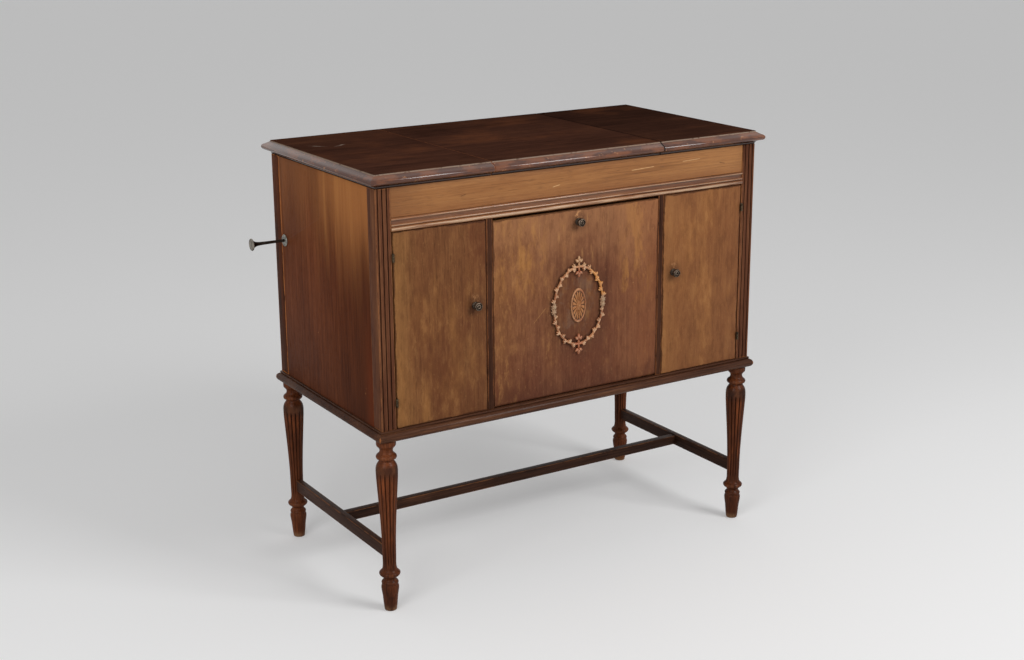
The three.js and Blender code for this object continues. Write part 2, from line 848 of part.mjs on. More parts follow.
const wormDistance = windingWheelRadius + windingWormRadius + meshGap;
const barrelY = windingShaftY - wormDistance;
const gearDistance = barrelRimRadius + pinionRadius + meshGap;
const spindleX = barrelX + gearDistance * Math.cos(THREE.MathUtils.degToRad(spindleAngle));
const spindleY = barrelY + gearDistance * Math.sin(THREE.MathUtils.degToRad(spindleAngle));
const frameTop = motorBoardBottom - seatGap;
const plateUnder = frameTop - framePlateThickness;
const barrelTop = plateUnder - barrelDrop;
const barrelBottom = barrelTop - barrelHeight;
const windingWheelBottom = windingShaftZ - windingWheelThickness / 2;
const lowerPlateTop = windingWheelBottom - frameBottomGap;
const lowerPlateBottom = lowerPlateTop - framePlateThickness;
const governorWheelZ = windingShaftZ;
const governorY = spindleY - governorWheelRadius - governorWormRadius - meshGap;
const governorX0 = spindleX - governorShaftStart;
const governorX1 = governorX0 + governorShaftLength;

// Two plates, four pillars, the bearings of the governor and the winding shaft, and the footsteps of the
// spindle and the barrel arbor.
function addMotorFrame() {
  const x = [barrelX - barrelRimRadius - frameMargin, spindleX + frameRightReach];
  const y = [spindleY - frameFrontReach, windingShaftY + windingWormRadius + frameMargin];
  const pieces = [
    board(...x, ...y, plateUnder, frameTop),
    board(...x, ...y, lowerPlateBottom, lowerPlateTop),
  ];
  const inset = framePillarRadius + bearingMargin / 2;
  for (const pillarX of [x[0] + inset, x[1] - inset]) {
    for (const pillarY of [y[0] + inset, y[1] - inset]) {
      const pillar = bar(framePillarRadius, lowerPlateBottom, frameTop);
      pieces.push(pillar.translate(pillarX, pillarY, 0));
    }
  }
  const bearing = (middleX, middleY, axisZ, half) => board(
    middleX - bearingThickness / 2,
    middleX + bearingThickness / 2,
    middleY - half,
    middleY + half,
    lowerPlateBottom,
    axisZ + half,
  );
  for (const governorEnd of [governorX0, governorX1]) {
    pieces.push(bearing(governorEnd, governorY, governorWheelZ, governorWormRadius + bearingMargin));
  }
  for (const side of [-1, 1]) {
    const shaftX = barrelX + side * (windingWormLength / 2 + bearingThickness);
    pieces.push(bearing(shaftX, windingShaftY, windingShaftZ, windingShaftRadius + bearingMargin));
  }
  const bores = [
    alongX(bar(windingShaftRadius + shaftClearance, ...x)).translate(0, windingShaftY, windingShaftZ),
    alongX(bar(governorShaftRadius + shaftClearance, ...x)).translate(0, governorY, governorWheelZ),
  ];
  const upright = [[spindleRadius, spindleX, spindleY], [barrelArborRadius, barrelX, barrelY]];
  for (const [radius, atX, atY] of upright) {
    const bore = bar(radius + shaftClearance, plateUnder - overrun, frameTop + overrun);
    const footstep = bar(radius + shaftClearance, lowerPlateTop - footstepDepth, lowerPlateTop + overrun);
    bores.push(bore.translate(atX, atY, 0), footstep.translate(atX, atY, 0));
  }
  add('motor_frame', cut(join(...pieces), ...bores), 'iron');
}

// Spring barrel: a drum with a toothed rim at its foot, free on the arbor of the winding wheel.
function addBarrel() {
  const outline = [];
  for (let i = 0; i < 2 * barrelTeeth; i += 1) {
    const angle = (i / barrelTeeth) * Math.PI;
    const radius = barrelRimRadius - (i % 2) * barrelToothDepth;
    outline.push([radius * Math.cos(angle), radius * Math.sin(angle)]);
  }
  const rim = slab(outline, barrelBottom, barrelBottom + barrelRimThickness);
  const drum = bar(barrelRadius, barrelBottom, barrelTop, wheelSides);
  const bore = bar(barrelArborRadius + shaftClearance, barrelBottom - overrun, barrelTop + overrun);
  const holder = group(barrelX, barrelY, 0);
  add('spring_barrel', cut(join(rim, drum), bore), 'steel', holder);
  const windingWheelTop = windingWheelBottom + windingWheelThickness;
  const wheel = bar(windingWheelRadius, windingWheelBottom, windingWheelTop, wheelSides);
  const arbor = bar(barrelArborRadius, lowerPlateTop - footstepDepth + meshGap, frameTop - meshGap);
  add('winding_wheel', join(wheel, arbor), 'brass', holder);
}

// Spindle with its pinion, its governor wheel and the tip that passes through the record.
function addSpindle() {
  const pinionZ = barrelBottom + barrelRimThickness / 2;
  const spindleTop = feltTop + spindleTip;
  const foot = lowerPlateTop - footstepDepth + meshGap;
  const profile = [
    [0, foot], [spindleRadius, foot],
    [spindleRadius, governorWheelZ - governorWheelThickness / 2],
    [governorWheelRadius, governorWheelZ - governorWheelThickness / 2],
    [governorWheelRadius, governorWheelZ + governorWheelThickness / 2],
    [spindleRadius, governorWheelZ + governorWheelThickness / 2],
    [spindleRadius, pinionZ - pinionLength / 2], [pinionRadius, pinionZ - pinionLength / 2],
    [pinionRadius, pinionZ + pinionLength / 2], [spindleRadius, pinionZ + pinionLength / 2],
    [spindleRadius, spindleTop - 2], [spindleRadius - 1.2, spindleTop], [0, spindleTop],
  ];
  add('spindle', turned(profile, spindleSides), 'steel', group(spindleX, spindleY, 0));
}

// Governor: a shaft with its worm, three weights on their springs drawn as one turned body, and a disc.
function addGovernor() {
  const shaft = governorShaftRadius;
  const collar = governorCollarRadius;
  const weight = governorWeightRadius;
  const weights0 = governorWormStart + governorWormLength + governorWeightsGap;
  const weights1 = weights0 + governorWeightsLength;
  const weightsMiddle = (weights0 + weights1) / 2;
  const slope = governorWeightsLength / 4;
  const disc0 = weights1 + governorCollarLength;
  const disc1 = disc0 + governorDiscThickness;
  const end = bearingThickness / 2 + jointGap;
  const profile = [
    [0, -end], [shaft, -end], [shaft, governorWormStart], [governorWormRadius, governorWormStart],
    [governorWormRadius, governorWormStart + governorWormLength],
    [shaft, governorWormStart + governorWormLength], [shaft, weights0 - governorCollarLength],
    [collar, weights0 - governorCollarLength], [collar, weights0], [weight * 0.7, weights0 + slope / 2],
    [weight, weightsMiddle - slope / 2], [weight, weightsMiddle + slope / 2],
    [weight * 0.7, weights1 - slope / 2], [collar, weights1], [collar, disc0], [governorDiscRadius, disc0],
    [governorDiscRadius, disc1], [shaft, disc1], [shaft, governorShaftLength + end],
    [0, governorShaftLength + end],
  ];
  const holder = group(governorX0, governorY, governorWheelZ);
  add('governor', alongX(turned(profile, governorSides)), 'brass', holder);
}

// Winding shaft: flared end, long thin rod through the side, and the worm inside the motor.
function addWindingShaft() {
  const outer = -caseHalfWidth - windingReach;
  const flare = [
    [0, outer], [windingFlareRadius, outer], [windingFlareRadius, outer + 2],
    [windingFlareRadius * 0.45, outer + 4], [windingShaftRadius * 1.25, outer + windingFlareLength],
  ];
  const worm0 = barrelX - windingWormLength / 2;
  const worm1 = barrelX + windingWormLength / 2;
  const inner = worm1 + windingInnerLength;
  const profile = [
    ...flare, [windingShaftRadius, outer + 2 * windingFlareLength],
    [windingShaftRadius, worm0], [windingWormRadius, worm0 + 2], [windingWormRadius, worm1 - 2],
    [windingShaftRadius, worm1], [windingShaftRadius, inner], [0, inner],
  ];
  const shaft = alongX(turned(profile, windingSides));
  add('winding_shaft', shaft, 'steel', group(0, windingShaftY, windingShaftZ));
}

function addEscutcheon() {
  const inner = windingShaftRadius + shaftClearance;
  const ring = [
    [inner, jointGap], [escutcheonRadius, jointGap], [escutcheonRadius, 1.2],
    [escutcheonRadius - 2.5, escutcheonThickness], [inner, escutcheonThickness], [inner, jointGap],
  ];
  const escutcheon = turned(ring, windingSides).rotateY(-Math.PI / 2);
  add('escutcheon', escutcheon, 'nickel', group(-caseHalfWidth, windingShaftY, windingShaftZ));
}

const feltTop = motorBoardTop + platterLift + platterThickness + feltThickness;

addMotorFrame();
addBarrel();
addSpindle();
addGovernor();
addWindingShaft();
addEscutcheon();

// ---------------------------------------------------------------- motor board and turntable

const toneAngle = THREE.MathUtils.degToRad(tonePivotAngle);
const toneX = spindleX + tonePivotDistance * Math.cos(toneAngle);
const toneY = spindleY + tonePivotDistance * Math.sin(toneAngle);

function addMotorBoard() {
  const reach = centreHalf - jointGap;
  const y0 = front + railThickness + jointGap;
  const plate = board(-reach, reach, y0, backInner - jointGap, motorBoardBottom, motorBoardTop);
  const span = [motorBoardBottom - overrun, motorBoardTop + overrun, spindleSides];
  const bores = [
    bar(spindleHoleRadius, ...span).translate(spindleX, spindleY, 0),
    bar(elbowThroatRadius, ...span).translate(toneX, toneY, 0),
  ];
  add('motor_board', cut(plate, ...bores), 'inner');
}

function addTurntable() {
  const z0 = motorBoardTop + platterLift;
  const z1 = z0 + platterThickness;
  const inner = spindleRadius + 0.1;
  const profile = [
    [inner, z0 - 2], [12, z0 - 2], [14, z0 + 2], [platterRadius - platterRim, z0 + 4],
    [platterRadius - platterRim, z0], [platterRadius - 1, z0], [platterRadius, z0 + 1.5],
    [platterRadius, z1 - 1.5], [platterRadius - 1.5, z1], [inner, z1], [inner, z0 - 2],
  ];
  const holder = group(spindleX, spindleY, 0);
  add('turntable', turned(profile, platterSides), 'nickel', holder);
  const felt = [
    [inner, z1 + 0.1], [platterRadius - feltInset, z1 + 0.1], [platterRadius - feltInset, feltTop],
    [inner, feltTop], [inner, z1 + 0.1],
  ];
  add('turntable_felt', turned(felt, platterSides), 'felt', holder);
}

// A flat lever on a round pivot: the pivot stands on the board and the blade lies on top.
function addLever(name, x, y, length, angle, knobHeight) {
  const half = leverWidth / 2;
  const blade = board(-half, length, -half, half, leverLift, leverLift + leverThickness);
  const boss = bar(leverPivotRadius, 0, leverPivotHeight);
  const knob = bar(leverPivotRadius, leverLift, knobHeight).translate(length - leverPivotRadius, 0, 0);
  const holder = group(x, y, motorBoardTop + seatGap);
  holder.rotation.z = THREE.MathUtils.degToRad(angle);
  add(name, join(blade, boss, knob), 'nickel', holder);
}

addMotorBoard();
addTurntable();
const padDistance = platterRadius + brakePadGap + leverPivotRadius;
const padDirection = THREE.MathUtils.degToRad(brakePadAngle);
const brakeDirection = THREE.MathUtils.degToRad(brakeLeverAngle);
const brakeReach = brakeLeverLength - leverPivotRadius;
const brakeX = spindleX + padDistance * Math.cos(padDirection) - brakeReach * Math.cos(brakeDirection);
const brakeY = spindleY + padDistance * Math.sin(padDirection) - brakeReach * Math.sin(brakeDirection);
addLever('brake_lever', brakeX, brakeY, brakeLeverLength, brakeLeverAngle, brakePadHeight);
addLever('speed_lever', speedLeverX, speedLeverY, speedLeverLength, speedLeverAngle, speedKnobHeight);

// ---------------------------------------------------------------- tone arm and sound box

// A hollow tube through stations of centre, radius and direction, open at both ends.
function hollowTube(stations, wall, sides) {
  const ringAt = (station, radius) => {
    const forward = new THREE.Vector3(...station.forward).normalize();
    const across = new THREE.Vector3(...station.across).normalize();
    const up = new THREE.Vector3().crossVectors(forward, across);
    const ring = [];
    for (let i = 0; i < sides; i += 1) {
      const angle = (i / sides) * 2 * Math.PI;
      const point = new THREE.Vector3(...station.centre);
      point.addScaledVector(across, radius * Math.cos(angle));
      point.addScaledVector(up, radius * Math.sin(angle));
      ring.push(point.toArray());
    }
    return ring;
  };
  const outer = stations.map((station) => ringAt(station, station.radius));
  const inner = stations.map((station) => ringAt(station, station.radius - wall)).reverse();
  return skin([...outer, ...inner], true);
}

const armRootZ = motorBoardTop + toneBracketHeight - toneArmSocketDepth;
const needleDrop = (soundBoxRadius + needleLength) * Math.cos(THREE.MathUtils.degToRad(needleLean));
const armAxisZ = feltTop + recordThickness + needleDrop;

// Turned bracket on the board, with a socket that the foot of the arm turns in.
function addToneArmBracket() {
  const bore = toneArmRadius + jointGap;
  const floor = toneBracketHeight - toneArmSocketDepth - jointGap;
  const passage = toneArmRadius - toneArmWall;
  const bracket = [
    [passage, seatGap], [toneBracketRadius, seatGap], [toneBracketRadius, toneBracketFlange],
    [toneArmRadius + 5, toneBracketFlange + 4], [toneArmRadius + 4, toneBracketHeight],
    [bore, toneBracketHeight], [bore, floor], [passage, floor], [passage, seatGap],
  ];
  add('tone_arm_bracket', turned(bracket, toneArmSides), 'nickel', group(toneX, toneY, motorBoardTop));
}

// Tapered tube: up out of the bracket, round to the front, along over the record and, at its end,
// round again to the left.
function addToneArm() {
  const rise = armAxisZ - armRootZ;
  const across = [1, 0, 0];
  const stations = [{ centre: [0, 0, 0], radius: toneArmRadius, forward: [0, 0, 1], across }];
  for (let i = 0; i <= toneArmBendSteps; i += 1) {
    const angle = (i / toneArmBendSteps) * (Math.PI / 2);
    const y = -toneArmBend * (1 - Math.cos(angle));
    const z = rise - toneArmBend * (1 - Math.sin(angle));
    const forward = [0, -Math.sin(angle), Math.cos(angle)];
    stations.push({ centre: [0, y, z], radius: toneArmRadius, forward, across });
  }
  for (let i = 0; i <= toneArmBendSteps; i += 1) {
    const angle = (i / toneArmBendSteps) * (Math.PI / 2);
    const centre = [
      -toneArmTipBend * (1 - Math.cos(angle)),
      -toneArmLength - toneArmTipBend * Math.sin(angle),
      rise,
    ];
    const forward = [-Math.sin(angle), -Math.cos(angle), 0];
    const turnedAcross = [Math.cos(angle), -Math.sin(angle), 0];
    stations.push({ centre, radius: toneArmTipRadius, forward, across: turnedAcross });
  }
  stations.push({
    centre: [-toneArmTipBend - toneArmTipLength, -toneArmLength - toneArmTipBend, rise],
    radius: toneArmTipRadius,
    forward: [-1, 0, 0],
    across: [0, -1, 0],
  });
  add('tone_arm', hollowTube(stations, toneArmWall, toneArmSides), 'nickel', group(toneX, toneY, armRootZ));
}

// Sound box: a shallow drum that turns on the end of the arm, with its needle bar and needle.
function addSoundBox() {
  const collar = toneArmTipRadius + soundBoxClearance;
  const rim = soundBoxRadius;
  const thick = soundBoxThickness;
  const drum = [
    [0, 0], [rim - 7, 0], [rim - 6, 1.5], [rim - 1.5, 1.5], [rim, 3], [rim, thick - 2], [rim - 2, thick],
    [collar + 2.5, thick], [collar + 2.5, thick + soundBoxCollar], [collar, thick + soundBoxCollar],
    [collar, thick - 3], [0, thick - 3],
  ];
  const body = alongX(turned(drum, toneArmSides));
  const lean = THREE.MathUtils.degToRad(needleLean);
  const needleBar = board(-needleInset - chuckRadius, 1, -chuckRadius, chuckRadius, -rim - 2, 0);
  const chuck = bar(chuckRadius, -rim - chuckLength, -rim).translate(-needleInset, 0, 0);
  const needle = bar(needleRadius, -rim - needleLength, -rim).translate(-needleInset, 0, 0);
  const lever = join(needleBar, chuck, needle).rotateX(-lean);
  const x = toneX - toneArmTipBend - toneArmTipLength - soundBoxClearance - thick + 3;
  const holder = group(x, toneY - toneArmLength - toneArmTipBend, armAxisZ);
  add('sound_box', join(body, lever), 'nickel', holder);
}

addToneArmBracket();
addToneArm();
addSoundBox();

// ---------------------------------------------------------------- horn

const hornMouthY = front + doorThickness + hornFrontGap;
const hornRearY = hornMouthY + hornLength;

// The bell: four tapering boards, from the oblong mouth that fills the centre bay to a square rear opening.
function addHorn() {
  const mouthHalf = centreHalf - hornMouthGap;
  const mouthHigh = hornMouthHeight / 2;
  const mouthZ = caseFloor + hornMouthGap + mouthHigh;
  const ring = (x, y, z, halfX, halfZ) => [
    [x - halfX, y, z - halfZ],
    [x + halfX, y, z - halfZ],
    [x + halfX, y, z + halfZ],
    [x - halfX, y, z + halfZ],
  ];
  const inner = hornRearHalf - hornBoard;
  const bell = skin([
    ring(0, hornMouthY, mouthZ, mouthHalf, mouthHigh),
    ring(0, hornMouthY, mouthZ, mouthHalf - hornBoard, mouthHigh - hornBoard),
    ring(toneX, hornRearY, hornRearZ, inner, inner),
    ring(toneX, hornRearY, hornRearZ, hornRearHalf, hornRearHalf),
  ], true);
  const mouthTop = mouthZ + mouthHigh;
  const baffleTop = motorBoardBottom - seatGap;
  const baffle = board(
    -mouthHalf, mouthHalf, hornMouthY, hornMouthY + hornBoard, mouthTop - hornBoard, baffleTop,
  );
  add('horn', join(bell, baffle), 'inner');
}

// The elbow: a tube that drops from the hole in the motor board, turns forwards and runs to the bell. It
// grows from round to nearly square, and its flange lies against the back of the bell.
function addHornElbow() {
  const endHalf = hornRearHalf - hornBoard;
  const top = motorBoardBottom - seatGap;
  const endY = hornRearY + jointGap;
  const bendTop = hornRearZ + elbowBend;
  const bendFront = toneY - elbowBend;
  const places = [{ y: toneY, z: top, tilt: 0 }];
  for (let i = 0; i <= elbowBendSteps; i += 1) {
    const tilt = ((i / elbowBendSteps) * Math.PI) / 2;
    const y = bendFront + elbowBend * Math.cos(tilt);
    places.push({ y, z: bendTop - elbowBend * Math.sin(tilt), tilt });
  }
  places.push({ y: endY, z: hornRearZ, tilt: Math.PI / 2 });
  const travelled = [0];
  for (let i = 1; i < places.length; i += 1) {
    const step = Math.hypot(places[i].y - places[i - 1].y, places[i].z - places[i - 1].z);
    travelled.push(travelled[i - 1] + step);
  }
  const ringAt = (i, wall) => {
    const { y, z, tilt } = places[i];
    const t = travelled[i] / travelled[places.length - 1];
    const radius = THREE.MathUtils.lerp(elbowThroatRadius, endHalf, t * t) + wall;
    const power = THREE.MathUtils.lerp(1, elbowRoundness, t);
    const ring = [];
    for (let k = 0; k < elbowSides; k += 1) {
      const angle = ((k + 0.5) / elbowSides) * 2 * Math.PI;
      const across = radius * Math.sign(Math.cos(angle)) * Math.pow(Math.abs(Math.cos(angle)), power);
      const upward = radius * Math.sign(Math.sin(angle)) * Math.pow(Math.abs(Math.sin(angle)), power);
      ring.push([toneX + across, y - upward * Math.cos(tilt), z + upward * Math.sin(tilt)]);
    }
    return ring;
  };
  const outer = places.map((place, i) => ringAt(i, elbowWall));
  const inner = places.map((place, i) => ringAt(i, 0));
  const reach = hornRearHalf + elbowFlangeMargin;
  const flange = board(-reach, reach, endY, endY + elbowFlange, -reach, reach);
  const body = join(skin(outer), flange.translate(toneX, 0, hornRearZ));
  const first = inner[0].map(([x, y, z]) => [x, y, z + overrun]);
  const final = inner[places.length - 1].map(([x, y, z]) => [x, y - overrun, z]);
  add('horn_elbow', cut(body, skin([first, ...inner, final])), 'iron');
}

addHorn();
addHornElbow();

// ---------------------------------------------------------------- origin

const extent = new THREE.Box3().setFromObject(cabinet, true);
const middle = extent.getCenter(new THREE.Vector3());
cabinet.position.set(-middle.x, -middle.y, -extent.min.z);

const whole = new THREE.Group();
whole.add(cabinet);

export default whole;
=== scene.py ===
import json
import math

import bpy
from mathutils import Matrix, Vector


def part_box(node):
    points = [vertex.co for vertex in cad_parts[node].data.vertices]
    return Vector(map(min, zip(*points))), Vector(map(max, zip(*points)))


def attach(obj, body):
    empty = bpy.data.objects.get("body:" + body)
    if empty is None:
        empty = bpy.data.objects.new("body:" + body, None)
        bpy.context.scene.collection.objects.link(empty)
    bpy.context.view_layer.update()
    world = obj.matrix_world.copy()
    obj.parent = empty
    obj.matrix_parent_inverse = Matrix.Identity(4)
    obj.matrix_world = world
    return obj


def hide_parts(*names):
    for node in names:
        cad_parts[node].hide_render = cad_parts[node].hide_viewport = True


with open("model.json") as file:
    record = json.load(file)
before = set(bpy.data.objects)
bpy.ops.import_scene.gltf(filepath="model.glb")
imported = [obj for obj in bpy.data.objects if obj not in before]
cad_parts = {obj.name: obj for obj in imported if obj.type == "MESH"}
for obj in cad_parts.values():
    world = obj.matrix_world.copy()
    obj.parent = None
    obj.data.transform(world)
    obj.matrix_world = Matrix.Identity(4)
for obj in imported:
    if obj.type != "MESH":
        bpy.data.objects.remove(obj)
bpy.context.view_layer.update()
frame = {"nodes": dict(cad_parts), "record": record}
node_body = {
    node: body
    for body, nodes in frame["record"]["behaviour"]["bodies"].items()
    for node in nodes
}


# ---------------------------------------------------------------- camera
# Eye height of someone standing to the left of the cabinet's front, about 3.3 m away, looking a little
# down at it.

camera_data = bpy.data.cameras.new("studio_camera")
camera_data.lens = 56.006
camera_data.sensor_width = 36.0
camera_data.sensor_fit = "HORIZONTAL"
camera_data.clip_end = 100.0
camera = bpy.data.objects.new("studio_camera", camera_data)
bpy.context.scene.collection.objects.link(camera)
looking = Vector((0.50667, 0.81586, -0.27867)).normalized()
level = looking.cross(Vector((0, 0, 1))).normalized()
roll = -0.0067
right = math.cos(roll) * level + math.sin(roll) * level.cross(looking)
upward = right.cross(looking)
camera.matrix_world = Matrix((
    (right.x, upward.x, -looking.x, -1.6929),
    (right.y, upward.y, -looking.y, -2.7532),
    (right.z, upward.z, -looking.z, 1.3903),
    (0, 0, 0, 1),
))
bpy.context.scene.camera = camera


# ---------------------------------------------------------------- base board
# A solid board with a half-round edge under a narrow flat strip, stained dark and varnished. The varnish
# has rubbed through on the round at its corners.

class Field:
    """A number that varies over a surface. Arithmetic on it adds Math nodes to its finish."""

    def __init__(self, finish, socket):
        self.finish = finish
        self.socket = socket

    def maths(self, operation, *others):
        values = dict(enumerate((self,) + others))
        return self.finish.add("ShaderNodeMath", {"operation": operation}, values)

    def __add__(self, other):
        return self.maths("ADD", other)

    __radd__ = __add__

    def __sub__(self, other):
        return self.maths("SUBTRACT", other)

    def __rsub__(self, other):
        return self.finish.add("ShaderNodeMath", {"operation": "SUBTRACT"}, {0: other, 1: self})

    def __mul__(self, other):
        return self.maths("MULTIPLY", other)

    __rmul__ = __mul__

    def __truediv__(self, other):
        return self.maths("DIVIDE", other)

    def __pow__(self, other):
        return self.maths("POWER", other)

    def __abs__(self):
        return self.maths("ABSOLUTE")

    def least(self, other):
        return self.maths("MINIMUM", other)

    def most(self, other):
        return self.maths("MAXIMUM", other)

    def rise(self, low, high):
        """0 below low, 1 above high, with a soft step between them."""
        limits = {"Value": self, "From Min": low, "From Max": high}
        return self.finish.add("ShaderNodeMapRange", {"interpolation_type": "SMOOTHSTEP"}, limits)

    def fall(self, low, high):
        """1 below low, 0 above high, with a soft step between them."""
        return 1.0 - self.rise(low, high)


class Finish:
    """One material as it is built up in layers, over Object coordinates in metres."""

    def __init__(self, name, roughness=0.4, metallic=0.0):
        self.material = bpy.data.materials.new(name)
        self.material.use_nodes = True
        self.tree = self.material.node_tree
        self.shader = self.tree.nodes["Principled BSDF"]
        self.place = self.add("ShaderNodeTexCoord", {}, {}, "Object")
        self.x, self.y, self.z = [
            self.add("ShaderNodeSeparateXYZ", {}, {"Vector": self.place}, axis) for axis in "XYZ"
        ]
        self.shader.inputs["Metallic"].default_value = metallic
        self.roughness = roughness
        self.colour = (0.5, 0.5, 0.5, 1.0)
        self.height = None

    def add(self, kind, settings, values, output=0):
        """Adds a node: its settings first, then a value or a link for each socket."""
        node = self.tree.nodes.new(kind)
        for name, setting in settings.items():
            setattr(node, name, setting)
        for name, value in values.items():
            if isinstance(value, Field):
                self.tree.links.new(value.socket, node.inputs[name])
            else:
                node.inputs[name].default_value = value
        return Field(self, node.outputs[output])

    def mix(self, share, under, over):
        """Lays one colour over another by a share from 0 to 1."""
        settings = {"data_type": "RGBA", "blend_type": "MIX", "clamp_factor": True}
        return self.add("ShaderNodeMix", settings, {0: share, 6: under, 7: over}, 2)

    def noise(self, scale, detail=3.0, rough=0.5, shift=0.0):
        """Noise with its own scale along X, Y and Z, in cells a metre."""
        stretched = self.add(
            "ShaderNodeMapping", {}, {"Vector": self.place, "Scale": scale, "Location": (shift,) * 3}
        )
        values = {"Vector": stretched, "Scale": 1.0, "Detail": detail, "Roughness": rough}
        return self.add("ShaderNodeTexNoise", {}, values)

    def paint(self, share, colour):
        self.colour = self.mix(share, self.colour, colour)

    def close(self, bump=0.0004):
        """Connects the finished colour, roughness and relief to the shader."""
        for name, value in (("Base Color", self.colour), ("Roughness", self.roughness)):
            if isinstance(value, Field):
                self.tree.links.new(value.socket, self.shader.inputs[name])
            else:
                self.shader.inputs[name].default_value = value
        if self.height is not None:
            values = {"Height": self.height, "Distance": bump, "Strength": 1.0}
            relief = self.add("ShaderNodeBump", {}, values, "Normal")
            self.tree.links.new(relief.socket, self.shader.inputs["Normal"])
        return self.material


def tone(red, green, blue):
    """A colour as read off a print, from 0 to 255, in linear light."""
    shares = [c / 255 for c in (red, green, blue)]
    return (*(c / 12.92 if c < 0.04045 else ((c + 0.055) / 1.055) ** 2.4 for c in shares), 1.0)


def wood(name, along, dark, middle, light, shift=0.0, roughness=0.42, sheen=0.06, blotch=1.0):
    """Varnished wood whose grain runs along one axis: broad blotches, streaks, fibres and open pores."""
    finish = Finish(name)
    run = "xyz".index(along)

    def cells(across, lengthways):
        return tuple(lengthways if i == run else across for i in range(3))

    broad = finish.noise(cells(5.0, 1.6), 2.0, 0.5, shift)
    mottle = finish.noise(cells(34.0, 5.0), 4.0, 0.6, shift + 3.0)
    fibre = finish.noise(cells(300.0, 7.0), 3.0, 0.7, shift + 7.0)
    pore = finish.noise(cells(1300.0, 45.0), 2.0, 0.5, shift + 11.0).rise(0.58, 0.72)
    depth = broad * (0.50 * blotch) + mottle * (0.42 * blotch) + fibre * 0.62 + (0.19 - 0.46 * blotch)
    finish.colour = finish.mix(depth.rise(0.28, 0.52), dark, middle)
    finish.paint(depth.rise(0.48, 0.78), light)
    finish.paint(pore * 0.5, tuple(c * 0.35 for c in dark[:3]) + (1.0,))
    finish.roughness = roughness + mottle * 0.16 + pore * 0.15 - 0.08
    finish.height = fibre * 0.35 - pore * 0.5
    finish.shader.inputs["Specular IOR Level"].default_value = sheen
    finish.shader.inputs["Coat Roughness"].default_value = 0.24
    return finish


def from_arris(finish, node):
    """Distance in metres from the nearest long edge of a box-shaped node."""
    low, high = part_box(node)
    a, b, c = [
        (field - low[i]).least(high[i] - field)
        for i, field in enumerate((finish.x, finish.y, finish.z))
    ]
    return a.least(b).most(a.most(b).least(c))


def rub_arrises(finish, node, bare, width=0.0025, amount=0.8, shift=0.0):
    """Wears the varnish off the edges in patches, down to a bare tone."""
    patches = finish.noise((28.0, 28.0, 28.0), 4.0, 0.65, shift + 21.0)
    reach = (patches - 0.36) * (6.0 * width)
    worn = (1.0 - from_arris(finish, node) / reach.most(0.0002)).rise(0.0, 0.55)
    finish.paint(worn * amount, bare)
    finish.roughness = finish.roughness + worn * 0.12


def only(piece):
    """Leaves one object selected and active, in object mode."""
    if bpy.context.object and bpy.context.object.mode != "OBJECT":
        bpy.ops.object.mode_set(mode="OBJECT")
    bpy.ops.object.select_all(action="DESELECT")
    piece.select_set(True)
    bpy.context.view_layer.objects.active = piece


def settle():
    """Works the active object's place, turn and size into its mesh."""
    bpy.ops.object.transform_apply(location=True, rotation=True, scale=True)


def smooth_under(degrees):
    """Shades the active object smooth, apart from edges sharper than an angle."""
    bpy.ops.object.shade_smooth_by_angle(angle=math.radians(degrees))


def twin(mesh, name):
    """A new object with its own copy of a mesh, which becomes the active one."""
    piece = bpy.data.objects.new(name, mesh.copy())
    bpy.context.scene.collection.objects.link(piece)
    only(piece)
    return piece


def eased(node, radius=0.0007, smooth=35, segments=2):
    """The node's own board with its edges eased by sandpaper."""
    piece = twin(frame["nodes"][node].data, node + "_eased")
    bpy.ops.object.mode_set(mode="EDIT")
    bpy.ops.mesh.select_all(action="SELECT")
    bpy.ops.mesh.remove_doubles(threshold=0.00001)
    bpy.ops.mesh.dissolve_limited(angle_limit=math.radians(0.5))
    bpy.ops.object.mode_set(mode="OBJECT")
    if radius:
        bevel = piece.modifiers.new("eased", "BEVEL")
        bevel.width = radius
        bevel.segments = segments
        bevel.limit_method = "ANGLE"
        bevel.angle_limit = math.radians(28)
        bpy.ops.object.modifier_apply(modifier=bevel.name)
    smooth_under(smooth)
    stand_in(piece, node)
    return piece


def stand_in(piece, node, *others):
    """Puts a finished piece in the place of its nodes and on their body."""
    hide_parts(node, *others)
    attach(piece, node_body[node])


def coat_with(piece, material):
    piece.data.materials.clear()
    piece.data.materials.append(material)


bare_orange = tone(196, 122, 66)

base = wood("base_varnish", "x", tone(40, 23, 16), tone(74, 45, 31), tone(112, 74, 50), 1.0, 0.42, 0.02)
rub_arrises(base, "base_board", bare_orange, 0.0030, 0.45, 2.0)
base.shader.inputs["Coat Weight"].default_value = 0.15
coat_with(eased("base_board", 0.0006), base.close())


# ---------------------------------------------------------------- legs
# Turned from one blank each: a foot, beads, a ring, a reeded shaft that swells to a plain shoulder, and a
# second ring under the case. Old varnish stays dark in the grooves and is rubbed to orange on the reeds.

def turn(name, profile, sides):
    """A closed turned piece on the Z axis, drawn up ring by ring from its first point to its last."""
    bpy.ops.object.select_all(action="DESELECT")
    radius, level = profile[0]
    bpy.ops.mesh.primitive_circle_add(
        vertices=sides, radius=radius, fill_type="NGON", location=(0, 0, level), enter_editmode=True
    )
    for wider, higher in profile[1:]:
        bpy.ops.mesh.extrude_region_move(TRANSFORM_OT_translate={"value": (0, 0, higher - level)})
        bpy.ops.transform.resize(value=(wider / radius, wider / radius, 1), center_override=(0, 0, higher))
        radius, level = wider, higher
    bpy.ops.mesh.select_all(action="SELECT")
    bpy.ops.mesh.normals_make_consistent(inside=False)
    bpy.ops.object.mode_set(mode="OBJECT")
    piece = bpy.context.object
    piece.name = name
    settle()
    return piece


